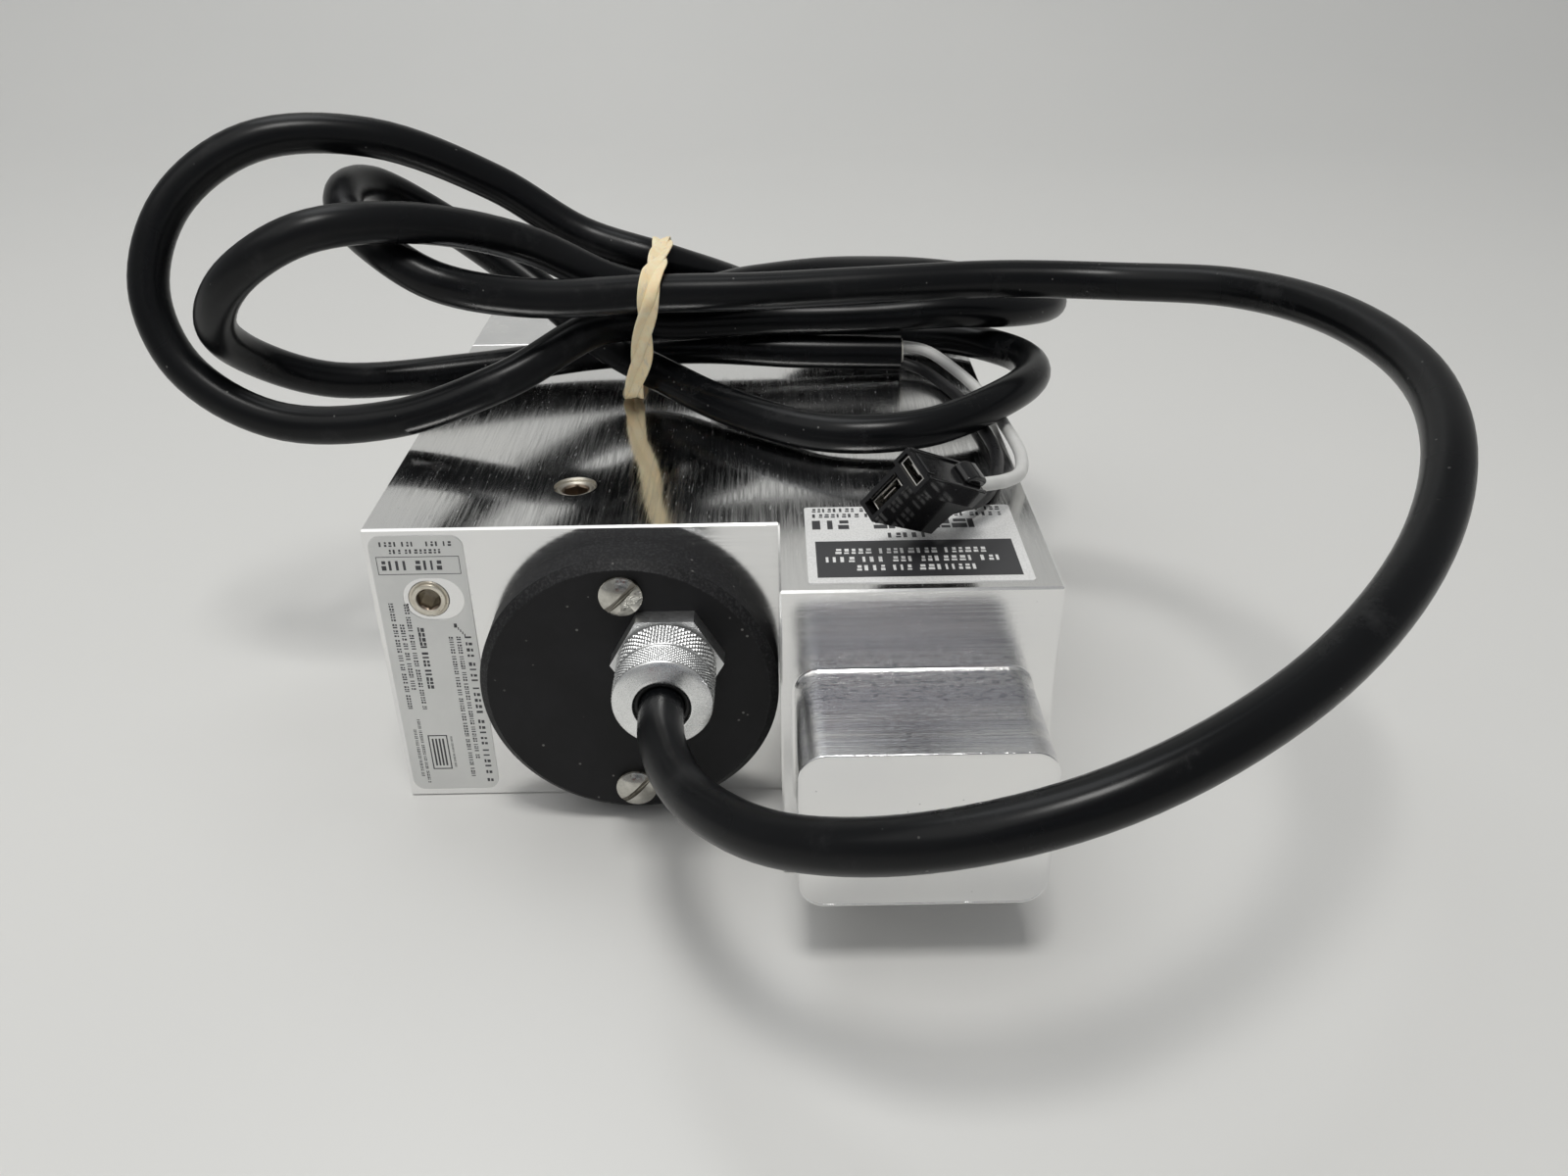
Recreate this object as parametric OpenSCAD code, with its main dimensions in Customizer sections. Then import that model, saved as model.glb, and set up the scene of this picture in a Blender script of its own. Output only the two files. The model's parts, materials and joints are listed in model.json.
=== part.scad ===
// Self-contained electro-hydraulic linear actuator: one billet holds a motor,
// a gear pump and a hydraulic ram side by side. Millimetres, +Z up.
// The motor end faces -Y and the ram leaves the rear face along +Y.
// Drawing coordinates: x from the left side, y from the motor face, z from the base.

/* [Body] */
// Height of the body
body_h = 76.2; // [70:0.1:90]
// Width of the motor side, left of the step in the front
motor_side_w = 94.5; // [92:0.1:110]
// Width of the ram side, right of the step
ram_side_w = 58.9; // [54:0.1:70]
// How far the ram side stands forward of the motor face
step_d = 31; // [25:0.5:40]
// Length of the main body behind the motor face
main_l = 126.3; // [120:0.1:140]
// Thickness of the rear valve block
rear_t = 38.1; // [34:0.1:45]
// Width of the outer edge chamfers
edge_c = 0.5; // [0.2:0.1:1]

/* [Mounting boss] */
// Width of the boss on the ram side's front face
boss_w = 51; // [40:0.5:54]
// Height of the boss
boss_h = 38.6; // [30:0.2:50]
// Length of the boss
boss_l = 29.9; // [20:0.1:40]
// Radius of the boss's long corners
boss_r = 5.5; // [3:0.5:8]

/* [Motor] */
// Diameter of the motor bore
motor_bore_d = 66; // [62:0.5:67]
// Diameter of the black end cap
cap_d = 69.8; // [68:0.1:72]
// How far the end cap stands proud
cap_t = 11.3; // [9:0.1:14]
// Diameter of the armature
armature_d = 47.6; // [44:0.1:48]
// Diameter of the motor shaft
shaft_d = 8; // [7:0.5:9]

/* [Pump] */
// Teeth on each pump gear
gear_teeth = 12; // [12:1:14]
// Module of the pump gears
gear_m = 1.5; // [1.4:0.05:1.5]
// Width of the pump gears
gear_w = 10; // [8:0.5:11]

/* [Ram] */
// Diameter of the cylinder bore
ram_bore_d = 38.1; // [35:0.1:40]
// Diameter of the ram rod
rod_d = 25.4; // [20:0.1:26]
// Stroke of the ram
stroke = 101.6; // [80:0.1:102]
// Diameter of the hole in the ram eye
eye_hole_d = 12.7; // [10:0.1:14]

/* [Cord] */
// Diameter of the jacketed cable
cable_d = 9.8; // [8:0.1:10]
// Diameter of each insulated wire
wire_d = 3.2; // [2.5:0.1:3.4]

/* [Hidden] */
$fn = 64;
e = 0.05;

// Body
body_w = motor_side_w + ram_side_w;
rear_y = main_l + rear_t;
mid_z = body_h / 2;
motor_x = 59.3;
ram_x = motor_side_w + ram_side_w / 2 + 0.6;
res_a = [13.1, 58, 8];       // upper reservoir bore: x, z, radius
res_b = [14, 22, 10];        // lower reservoir bore
res_y = 14;                  // where the reservoir bores begin
ram_y0 = -21;                // front end of the cylinder bore
screw_xz = [[7, 7], [7, 69.2], [147, 7], [147, 69.2], [98.6, 7], [98.6, 69.2]];
screw_reach = 20;            // thread length in the main body

// Motor, front to back
cap_c = 2;
spigot_l = 6;
cap_screw_r = 26.8;
cap_screw_l = 109;
motor_r = motor_bore_d / 2;
case_y = [6.4, 91.6];
case_wall = 2.6;
magnet_y = [32, 84];
core_y = [38, 78];
comm_y = [20, 31];
comm_d = 24;
brush_plate_y = [13, 15];
rear_plate_y = [92, 100];
pump_y = [100, 118];
gear_y0 = 104;
cover_y = [118, 126.1];
gear_c = gear_m * gear_teeth;
gear_z2 = mid_z - gear_c;
gear_tip = gear_c / 2 + gear_m * 0.95;

// Ram at rest, fully in
piston_l = 18;
piston_y = -10;
piston_nut_l = 8.5;
rod_y0 = ram_y0 + 1;
eye_y = rear_y + 24;
eye_r = 15;
eye_w = 24;
gland_y = [117, 146];
gland_d = 34;

// Cord grip
grip_x = 69;
grip_z = 49.1;
grip_af = 22.4;
grip_hex_t = 4.8;
grip_nut_d = 22.6;
grip_nut_y = [-33, -16.6];
grip_bore = 10.2;

// Labels
label_t = 0.25;
front_label_x = [1.3, 22.8];
front_label_z = [2.3, 74.6];
top_label_x = [100.6, 147.8];
top_label_y = [-28.2, 7.3];
filler = [13.1, 58];
vent = [46, 21.5];

// Valves in the rear block: centre x, centre z
relief_extend = [30, 20];
relief_retract = [30, 56];
relief_y = [136, 164.4];
poppet_lift = 1.5;
spool_y = 134.5;
spool_z = 38.1;
spool_travel = 2;

// Connector: two flat cavities set in a T
conn_at = [114, -21, 86.8];
conn_turn = [-60, 27, 43];
conn_l = 22;
conn_low = [11.4, 5.5];
conn_up = [4.4, 9];

// Route of the jacketed cable: out of the grip, a free loop to the right, then
// the coiled part that the band holds on top of the body
cable_route = [
    [69, -15, 49.1], [69, -31, 49.1], [70, -46, 50], [77, -67, 53], [93, -88, 60],
    [117, -101, 70], [147, -101, 79], [180, -86, 88], [206, -63, 98], [222, -36, 107],
    [229, -5, 112], [224, 27, 114], [210, 56, 112], [186, 73, 109], [155, 77, 109],
    [120, 73, 109], [90, 69, 109], [62, 65, 110], [34, 56, 112], [12, 51, 118],
    [-4, 58, 126], [-12, 67, 131], [-15, 80, 134], [-12, 94, 132], [0, 103, 122], [25, 98, 105],
    [47, 86, 90], [65, 74, 84], [84, 55, 82], [108, 38, 82], [132, 38, 83],
    [153, 52, 85], [165, 73, 84], [164, 95, 82], [149, 109, 82], [127, 115, 82],
    [105, 116, 86], [86, 107, 99], [65, 92, 111], [42, 95, 118], [20, 95, 132],
    [-8, 84, 146], [-35, 74, 147], [-55, 67, 134], [-62, 59, 115], [-55, 52, 97],
    [-34, 48, 84], [-4, 49, 83], [25, 55, 91], [48, 72, 99], [68, 87, 95],
    [92, 96, 93], [120, 97, 93], [144, 98, 94], [163, 104, 92], [176, 117, 89],
    [181, 134, 86], [173, 150, 85], [157, 155, 87], [141, 147, 91], [125, 131, 96],
    [108, 112, 101], [89, 94, 104], [72, 81, 105], [53, 75, 110], [31, 70, 122], [7, 52, 132],
    [-14, 39, 133], [-32, 39, 123], [-43, 49, 108], [-41, 65, 94], [-26, 76, 84],
    [10, 88, 82], [43, 98, 83], [72, 99, 84], [101, 97, 83], [131, 97, 82]
];
// Routes of the two wires from the cut end of the jacket to the connector
white_route = [
    [129, 98, 84], [138, 96, 83], [146, 87, 80], [152, 71, 78], [154, 52, 78],
    [155, 33, 78], [152, 17, 80], [146, 4, 84], [140, -4, 87], [136, -7, 88], [134, -9, 89]
];
black_route = [
    [129, 96, 80], [136, 92, 79], [142, 81, 78], [146, 66, 78], [148, 50, 78],
    [149, 32, 78], [146, 17, 78], [141, 5, 79], [135, -2, 81], [131, -6, 82], [129, -8, 83]
];
// Centres, in the plane across the body at band_x, of the strands in the band
band_x = [61, 66];
band_pts = [[65, 110], [92, 111], [78.5, 107], [83.5, 96], [98.5, 84], [75, 84.5]];
band_in = 5.3;
band_out = 6.5;

// ---------- helpers ----------
// Moves drawing coordinates so that the origin is under the middle of the object
y_front = -step_d - boss_l;
y_back = eye_y + eye_r;
module placed() translate([-body_w / 2, -(y_front + y_back) / 2, 0]) children();
// Cylinder along +Y from y0 to y1 at x, z
module rod_y(x, z, y0, y1, d) translate([x, y1, z]) rotate([90, 0, 0]) cylinder(h = y1 - y0, d = d);
// Ring along +Y
module ring_y(x, z, y0, y1, d, bore)
    difference() { rod_y(x, z, y0, y1, d); rod_y(x, z, y0 - 1, y1 + 1, bore); }
// Round seal ring about a Y axis
module o_ring(x, z, y, r, s)
    translate([x, y, z]) rotate([90, 0, 0]) rotate_extrude() translate([r, 0]) circle(d = s, $fn = 24);
// Block given by its two corners
module block(a, b) translate(a) cube(b - a);
// Bar with a square section set on its corner, for cutting a chamfer along x, y or z
module bar_x(x0, x1, y, z) translate([x0, y, z]) rotate([45, 0, 0])
    translate([0, -edge_c * 0.7071, -edge_c * 0.7071]) cube([x1 - x0, edge_c * 1.4142, edge_c * 1.4142]);
module bar_y(y0, y1, x, z) translate([x, y0, z]) rotate([0, 45, 0])
    translate([-edge_c * 0.7071, 0, -edge_c * 0.7071]) cube([edge_c * 1.4142, y1 - y0, edge_c * 1.4142]);
module bar_z(z0, z1, x, y) translate([x, y, z0]) rotate([0, 0, 45])
    translate([-edge_c * 0.7071, -edge_c * 0.7071, 0]) cube([edge_c * 1.4142, edge_c * 1.4142, z1 - z0]);
// Hex socket cut from y, z plane
module hex_cut(af, d) cylinder(h = d, d = af / cos(30), $fn = 6);

// Unit vector, and a ring of n points about p across direction t
function unit(v) = v / norm(v);
function side_of(t) = abs(t[2]) > 0.9 ? unit(cross(t, [1, 0, 0])) : unit(cross(t, [0, 0, 1]));
function tangent(p, i) = i == 0 ? unit(p[1] - p[0])
    : i == len(p) - 1 ? unit(p[i] - p[i - 1])
    : unit(unit(p[i + 1] - p[i]) + unit(p[i] - p[i - 1]));
function ring_pts(p, t, r, n) = let(u = side_of(t), w = cross(t, u))
    [for (k = [0:n - 1]) p + r * (cos(360 * k / n) * u + sin(360 * k / n) * w)];
module tube(route, d, n) {
    m = len(route);
    pts = [for (i = [0:m - 1]) each ring_pts(route[i], tangent(route, i), d / 2, n)];
    sides = [for (i = [0:m - 2]) for (k = [0:n - 1])
        let(a = i * n + k, b = i * n + (k + 1) % n) [a, b, b + n, a + n]];
    polyhedron(points = pts, convexity = 10,
        faces = concat([[for (k = [n - 1:-1:0]) k]], sides, [[for (k = [0:n - 1]) (m - 1) * n + k]]));
}

// Involute gear outline
press_a = 25;
backlash = 0.9;
function inv_deg(a) = tan(a) * 180 / PI - a;
function half_tooth(r, rp, rb, z) = 90 / z - backlash + inv_deg(press_a)
    - inv_deg(acos(min(1, rb / max(r, rb))));
function gear_outline(z, m) =
    let(rp = m * z / 2, rb = rp * cos(press_a), ra = rp + 0.95 * m, rd = rp - 1.2 * m,
        rs = [rd, rb + 0.02, rb + (ra - rb) * 0.35, rb + (ra - rb) * 0.7, ra])
    [for (i = [0:z - 1]) each concat(
        [for (r = rs) let(a = i * 360 / z - half_tooth(r, rp, rb, z)) r * [cos(a), sin(a)]],
        [for (k = [len(rs) - 1:-1:0]) let(a = i * 360 / z + half_tooth(rs[k], rp, rb, z))
            rs[k] * [cos(a), sin(a)]])];
module gear_y(x, z, turn) translate([x, gear_y0 + gear_w, z]) rotate([90, 0, 0])
    rotate([0, 0, turn]) linear_extrude(gear_w) polygon(gear_outline(gear_teeth, gear_m));

// Coil spring standing on z = 0: length, mean radius, wire diameter, turns
function coil_route(l, r, wire, turns) = let(n = 12 * turns)
    [for (i = [0:n]) [r * cos(30 * i), r * sin(30 * i), wire / 2 + (l - wire) * i / n]];
module coil(l, r, wire, turns) tube(coil_route(l, r, wire, turns), wire, 6);

// ---------- body ----------
module plan_outline(y0, y1) polygon(y0 < 0
    ? [[0, 0], [motor_side_w, 0], [motor_side_w, y0], [body_w, y0], [body_w, y1], [0, y1]]
    : [[0, y0], [body_w, y0], [body_w, y1], [0, y1]]);

module main_housing() color([0.8, 0.81, 0.83]) difference() {
    union() {
        linear_extrude(body_h) plan_outline(-step_d, main_l);
        boss();
    }
    rod_y(motor_x, mid_z, -1, main_l + 1, motor_bore_d);
    rod_y(ram_x, mid_z, ram_y0, main_l + 1, ram_bore_d);
    rod_y(ram_x, mid_z, gland_y[0], main_l + 1, gland_d + 6.2);
    rod_y(res_a[0], res_a[1], res_y, main_l + 1, 2 * res_a[2]);
    rod_y(res_b[0], res_b[1], res_y, main_l + 1, 2 * res_b[2]);
    rod_y(filler[0], filler[1], -1, res_y + 1, 8.2);
    rod_y(filler[0], filler[1], -1, 1.6, 9.6);
    translate([vent[0], vent[1], mid_z + 25]) cylinder(h = 20, d = 8.4);
    translate([vent[0], vent[1], body_h - 3.2]) cylinder(h = 4, d = 10.4);
    for (p = screw_xz) rod_y(p[0], p[1], main_l - screw_reach, main_l + 1, 6);
    for (z = [0, body_h]) {
        bar_x(-1, motor_side_w, 0, z);
        bar_x(motor_side_w - edge_c, body_w + 1, -step_d, z);
        bar_x(-1, body_w + 1, main_l, z);
        bar_y(-1, main_l + 1, 0, z);
        bar_y(-step_d - 1, main_l + 1, body_w, z);
        bar_y(-step_d - 1, 0, motor_side_w, z);
    }
    bar_z(-1, body_h + 1, 0, 0);
    bar_z(-1, body_h + 1, motor_side_w, -step_d);
    bar_z(-1, body_h + 1, body_w, -step_d);
    bar_z(-1, body_h + 1, 0, main_l);
    bar_z(-1, body_h + 1, body_w, main_l);
}

module boss() {
    x0 = body_w - 4.8 - boss_w;
    z0 = (body_h - boss_h) / 2 - 0.6;
    y0 = -step_d - boss_l;
    block([x0 + boss_r, y0, z0], [x0 + boss_w - boss_r, -step_d + 1, z0 + boss_h]);
    block([x0, y0, z0 + boss_r], [x0 + boss_w, -step_d + 1, z0 + boss_h - boss_r]);
    for (x = [x0 + boss_r, x0 + boss_w - boss_r], z = [z0 + boss_r, z0 + boss_h - boss_r])
        rod_y(x, z, y0, -step_d + 1, 2 * boss_r);
}

module rear_block() color([0.78, 0.79, 0.81]) difference() {
    translate([0, main_l, 0]) cube([body_w, rear_t, body_h]);
    // rod, gland and wiper
    rod_y(ram_x, mid_z, main_l - 1, rear_y + 1, rod_d + 0.6);
    rod_y(ram_x, mid_z, main_l - 1, gland_y[1], gland_d);
    rod_y(ram_x, mid_z, rear_y - 5, rear_y + 1, gland_d);
    // fluid pocket that joins the two reservoir bores
    block([9, main_l - 1, 18], [17, main_l + 6, 62]);
    // delivery pocket behind the pump and the gallery to the spool
    for (s = [-1, 1]) rod_y(motor_x + s * 13.5, mid_z - 5, main_l - 1, spool_y + 1, 6);
    translate([-1, spool_y, spool_z]) rotate([0, 90, 0]) cylinder(h = 86, d = 8.1);
    translate([-1, spool_y, spool_z]) rotate([0, 90, 0]) cylinder(h = 9, d = 11);
    // relief valve bores
    for (p = [relief_extend, relief_retract]) {
        rod_y(p[0], p[1], relief_y[0], rear_y + 1, 8.1);
        rod_y(p[0], p[1], rear_y - 8, rear_y + 1, 10);
        rod_y(p[0], p[1], relief_y[0] - 4, relief_y[0] + 1, 3.4);
        translate([p[0] + 0.4, relief_y[0] - 2.4, min(p[1], spool_z) - 1])
            cylinder(h = abs(p[1] - spool_z) + 2, d = 2.6);
    }
    // cap screws
    for (p = screw_xz) {
        rod_y(p[0], p[1], main_l - 1, rear_y + 1, 6.6);
        rod_y(p[0], p[1], rear_y - 6.6, rear_y + 1, 10.6);
    }
    // seal grooves in the front face
    groove(motor_x, mid_z, motor_bore_d / 2 + 1.7);
    groove(ram_x, mid_z, gland_d / 2 + 5.4);
    for (z = [0, body_h]) {
        bar_x(-1, body_w + 1, main_l, z);
        bar_x(-1, body_w + 1, rear_y, z);
        bar_y(main_l - 1, rear_y + 1, 0, z);
        bar_y(main_l - 1, rear_y + 1, body_w, z);
    }
    for (x = [0, body_w], y = [main_l, rear_y]) bar_z(-1, body_h + 1, x, y);
}
module groove(x, z, r) difference() {
    rod_y(x, z, main_l - 1, main_l + 1.9, 2 * r + 2.2);
    rod_y(x, z, main_l - 2, main_l + 2, 2 * r - 2.2);
}

module rear_block_seals() color([0.08, 0.08, 0.08]) {
    o_ring(motor_x, mid_z, main_l + 0.95, motor_bore_d / 2 + 1.7, 1.8);
    o_ring(ram_x, mid_z, main_l + 0.95, gland_d / 2 + 5.4, 1.8);
}

module rear_block_screws() color([0.25, 0.25, 0.27])
    for (p = screw_xz) difference() {
        union() {
            rod_y(p[0], p[1], main_l - screw_reach + 1, rear_y - 6.4, 6);
            rod_y(p[0], p[1], rear_y - 6.4, rear_y - 0.4, 10);
        }
        translate([p[0], rear_y - 0.3, p[1]]) rotate([90, 0, 0]) hex_cut(3.9, 3.4);
    }

// ---------- motor end ----------
module motor_end_cap() color([0.06, 0.06, 0.065]) difference() {
    union() {
        rod_y(motor_x, mid_z, -cap_t + cap_c, 0, cap_d);
        translate([motor_x, -cap_t + cap_c, mid_z]) rotate([90, 0, 0])
            cylinder(h = cap_c, d1 = cap_d, d2 = cap_d - 2 * cap_c);
        rod_y(motor_x, mid_z, -e, spigot_l, motor_bore_d - 0.1);
        rod_y(motor_x, mid_z, 0, 11, 20);
    }
    // bearing seat, screw holes, gland hole and seal groove
    rod_y(motor_x, mid_z, 3, 12, 14);
    for (s = [-1, 1]) rod_y(motor_x, mid_z + s * cap_screw_r, -cap_t - 1, spigot_l + 1, 4.6);
    rod_y(grip_x, grip_z, -cap_t - 1, -2, 15);
    rod_y(grip_x, grip_z, -3, spigot_l + 1, 9);
    difference() {
        rod_y(motor_x, mid_z, 1.6, 4, motor_bore_d + 2);
        rod_y(motor_x, mid_z, 0, 5, motor_bore_d - 4);
    }
}
module end_cap_o_ring() color([0.1, 0.08, 0.08])
    o_ring(motor_x, mid_z, 2.8, motor_bore_d / 2 - 1.02, 1.9);

// Long through screws with slotted, domed binding heads
module end_cap_screws() color([0.75, 0.75, 0.74]) for (s = [-1, 1])
    translate([motor_x, -cap_t, mid_z + s * cap_screw_r]) {
        translate([0, cap_screw_l, 0]) rotate([90, 0, 0]) cylinder(h = cap_screw_l, d = 4.2);
        rotate([90, 0, 0]) difference() {
            union() {
                cylinder(h = 1.2, d = 9.8);
                translate([0, 0, 1.2]) intersection() {
                    translate([0, 0, 1.9 - 8.2]) sphere(r = 8.2, $fn = 48);
                    cylinder(h = 2.2, d = 9.6);
                }
            }
            rotate([0, 0, 45]) translate([-6, -0.65, 1.4]) cube([12, 1.3, 4]);
        }
    }

module cord_grip_body() color([0.78, 0.78, 0.79]) difference() {
    union() {
        translate([grip_x, -cap_t, grip_z]) rotate([90, 30, 0])
            rotate([0, 0, 30]) cylinder(h = grip_hex_t, d = grip_af / cos(30), $fn = 6);
        rod_y(grip_x, grip_z, -cap_t - e, -2.4, 14.9);
        rod_y(grip_x, grip_z, -28, -cap_t - grip_hex_t + e, 17);
    }
    rod_y(grip_x, grip_z, -24, 0, grip_bore);
    rod_y(grip_x, grip_z, -29, -23.9, 12.4);
}
module cord_grip_nut() color([0.8, 0.8, 0.81]) difference() {
    union() {
        rod_y(grip_x, grip_z, grip_nut_y[0] + 8.6, grip_nut_y[1], grip_nut_d);
        rod_y(grip_x, grip_z, grip_nut_y[0] + 7.8, grip_nut_y[0] + 8.7, grip_nut_d - 1.4);
        rod_y(grip_x, grip_z, grip_nut_y[0] + 4.6, grip_nut_y[0] + 7.9, grip_nut_d);
        rod_y(grip_x, grip_z, grip_nut_y[0] + 1, grip_nut_y[0] + 4.7, grip_nut_d - 0.6);
        translate([grip_x, grip_nut_y[0] + 1.01, grip_z]) rotate([90, 0, 0])
            cylinder(h = 1.01, d1 = grip_nut_d - 0.6, d2 = grip_nut_d - 2.4);
    }
    rod_y(grip_x, grip_z, -40, -10, 12.4);
    rod_y(grip_x, grip_z, -28.6, -10, 17.1);
}
module cord_grip_grommet() color([0.05, 0.05, 0.05])
    ring_y(grip_x, grip_z, -32.2, -24.2, 12.3, cable_d - 0.3);

module filler_plug() color([0.72, 0.66, 0.52]) difference() {
    union() {
        rod_y(filler[0], filler[1], 1.2, 11, 8.1);
        rod_y(filler[0], filler[1], -0.6, 1.3, 9.4);
    }
    translate([filler[0], -1, filler[1]]) rotate([-90, 0, 0]) hex_cut(3.9, 5);
}
module vent_plug() color([0.74, 0.7, 0.6]) difference() {
    union() {
        translate([vent[0], vent[1], body_h - 6.4]) cylinder(h = 4, d = 8.3);
        translate([vent[0], vent[1], body_h - 3.1]) cylinder(h = 2.5, d = 10.2);
    }
    translate([vent[0], vent[1], body_h - 4.6]) hex_cut(3.9, 6);
}

// ---------- labels ----------
module rounded(x0, x1, y0, y1, r) hull()
    for (x = [x0 + r, x1 - r], y = [y0 + r, y1 - r]) translate([x, y]) circle(r, $fn = 24);
module front_label() color([0.76, 0.77, 0.78]) rotate([90, 0, 0])
    linear_extrude(label_t) difference() {
        rounded(front_label_x[0], front_label_x[1], front_label_z[0], front_label_z[1], 3);
        hull() {
            translate([filler[0] - 0.4, filler[1]]) circle(5.6, $fn = 32);
            translate([filler[0] + 2.6, filler[1]]) circle(5.6, $fn = 32);
        }
    }
module top_label() color([0.93, 0.93, 0.92]) translate([0, 0, body_h])
    linear_extrude(label_t) rounded(top_label_x[0], top_label_x[1], top_label_y[0], top_label_y[1], 0.8);

// ---------- motor ----------
module motor_case() color([0.35, 0.36, 0.38]) difference() {
    rod_y(motor_x, mid_z, case_y[0], case_y[1], motor_bore_d - 0.4);
    rod_y(motor_x, mid_z, case_y[0] - 1, case_y[1] + 1, motor_bore_d - 0.4 - 2 * case_wall);
}
module motor_magnets() color([0.2, 0.2, 0.22]) for (s = [-1, 1]) intersection() {
    ring_y(motor_x, mid_z, magnet_y[0], magnet_y[1], motor_bore_d - 0.4 - 2 * case_wall, armature_d + 1.2);
    translate([motor_x + s * 28, (magnet_y[0] + magnet_y[1]) / 2, mid_z])
        cube([32, 80, 44], center = true);
}
module brush_plate() color([0.45, 0.3, 0.18]) difference() {
    union() {
        rod_y(motor_x, mid_z, brush_plate_y[0], brush_plate_y[1], 60);
        for (s = [-1, 1]) translate([motor_x + s * 20.5, 23, mid_z]) cube([13, 16.2, 9], center = true);
    }
    rod_y(motor_x, mid_z, 0, 20, 22);
    for (s = [-1, 1]) {
        translate([motor_x + s * 16, 25.5, mid_z]) cube([20, 8.4, 6.4], center = true);
        rod_y(motor_x, mid_z + s * cap_screw_r, 0, 20, 5);
    }
}
module carbon_brushes() color([0.15, 0.15, 0.15]) for (s = [-1, 1]) difference() {
    translate([motor_x + s * 16.5, 25.5, mid_z]) cube([11, 8, 6], center = true);
    rod_y(motor_x, mid_z, 0, 40, comm_d + 0.1);
}
module brush_springs() color([0.7, 0.7, 0.7]) for (s = [-1, 1])
    translate([motor_x + s * 22.4, 25.5, mid_z]) rotate([0, s * 90, 0]) coil(3.2, 2, 0.6, 3);
module front_bearing() color([0.7, 0.5, 0.25]) ring_y(motor_x, mid_z, 3, 11, 14, shaft_d + 0.06);
module rear_bearing() color([0.7, 0.5, 0.25]) ring_y(motor_x, mid_z, rear_plate_y[0] + 0.2, rear_plate_y[0] + 5, 14, shaft_d + 0.06);
module motor_rear_plate() color([0.62, 0.63, 0.65]) difference() {
    rod_y(motor_x, mid_z, rear_plate_y[0], rear_plate_y[1], motor_bore_d - 0.2);
    rod_y(motor_x, mid_z, rear_plate_y[0] - 1, rear_plate_y[0] + 5, 14);
    rod_y(motor_x, mid_z, rear_plate_y[0], rear_plate_y[1] + 1, 9);
    rod_y(motor_x, mid_z, rear_plate_y[1] - 2.6, rear_plate_y[1] + 1, 16);
    for (s = [-1, 1]) rod_y(motor_x, mid_z + s * cap_screw_r, rear_plate_y[0] - 1, rear_plate_y[1] - 2, 4.2);
}
module shaft_seal() color([0.1, 0.1, 0.1])
    ring_y(motor_x, mid_z, rear_plate_y[1] - 2.5, rear_plate_y[1], 15.9, shaft_d + 0.1);
module motor_shaft() color([0.7, 0.71, 0.73]) rod_y(motor_x, mid_z, 3.4, cover_y[0] + 4, shaft_d);
module armature_core() color([0.4, 0.4, 0.42]) difference() {
    rod_y(motor_x, mid_z, core_y[0], core_y[1], armature_d);
    rod_y(motor_x, mid_z, core_y[0] - 1, core_y[1] + 1, shaft_d);
    for (k = [0:11]) translate([motor_x, 0, mid_z]) rotate([0, k * 30 + 15, 0])
        translate([17, core_y[0] - 1, -1.2]) cube([8, core_y[1] - core_y[0] + 2, 2.4]);
}
module armature_windings() color([0.6, 0.3, 0.12]) for (y = [core_y[0] - 6, core_y[1]])
    difference() {
        rod_y(motor_x, mid_z, y, y + 6, 40);
        rod_y(motor_x, mid_z, y - 1, y + 7, shaft_d + 6);
    }
module commutator() color([0.75, 0.45, 0.25]) difference() {
    rod_y(motor_x, mid_z, comm_y[0], comm_y[1], comm_d);
    rod_y(motor_x, mid_z, comm_y[0] - 1, comm_y[1] + 1, shaft_d);
    for (k = [0:11]) translate([motor_x, 0, mid_z]) rotate([0, k * 30, 0])
        translate([9, comm_y[0] - 1, -0.35]) cube([5, comm_y[1] - comm_y[0] + 2, 0.7]);
}

// ---------- pump ----------
module pump_body() color([0.66, 0.67, 0.69]) difference() {
    rod_y(motor_x, mid_z, pump_y[0], pump_y[1], motor_bore_d - 0.2);
    rod_y(motor_x, mid_z, pump_y[0] - 1, pump_y[1], shaft_d + 0.08);
    for (z = [mid_z, gear_z2]) rod_y(motor_x, z, gear_y0 - 0.1, pump_y[1] + 1, 2 * gear_tip + 0.24);
    rod_y(motor_x, gear_z2, pump_y[0] - 1, gear_y0 + 1, shaft_d + 0.08);
    block([motor_x - 16, gear_y0, mid_z - 13], [motor_x + 16, gear_y0 + gear_w, mid_z - 5]);
    for (s = [-1, 1]) rod_y(motor_x + s * 13.5, mid_z - 9, gear_y0, pump_y[1] + 1, 5);
}
module pump_cover() color([0.6, 0.61, 0.63]) difference() {
    rod_y(motor_x, mid_z, gear_y0 + gear_w + 0.1, cover_y[1], motor_bore_d - 0.2);
    difference() {
        rod_y(motor_x, mid_z, gear_y0, cover_y[0], motor_bore_d + 2);
        for (z = [mid_z, gear_z2]) rod_y(motor_x, z, gear_y0 - 1, cover_y[0] + 1, 2 * gear_tip + 0.1);
    }
    for (z = [mid_z, gear_z2]) rod_y(motor_x, z, gear_y0, cover_y[0] + 4.4, shaft_d + 0.08);
    for (s = [-1, 1]) translate([motor_x + s * 13.5, cover_y[1] + 1, mid_z - 9]) rotate([90, 0, 0])
        cylinder(h = 12, d = 5);
}
module pump_drive_gear() color([0.55, 0.55, 0.57]) difference() {
    gear_y(motor_x, mid_z, 0);
    rod_y(motor_x, mid_z, gear_y0 - 1, gear_y0 + gear_w + 1, shaft_d);
}
module pump_idler_gear() color([0.55, 0.55, 0.57]) union() {
    gear_y(motor_x, gear_z2, 15);
    rod_y(motor_x, gear_z2, pump_y[0] + 0.3, cover_y[0] + 4, shaft_d);
}

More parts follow.
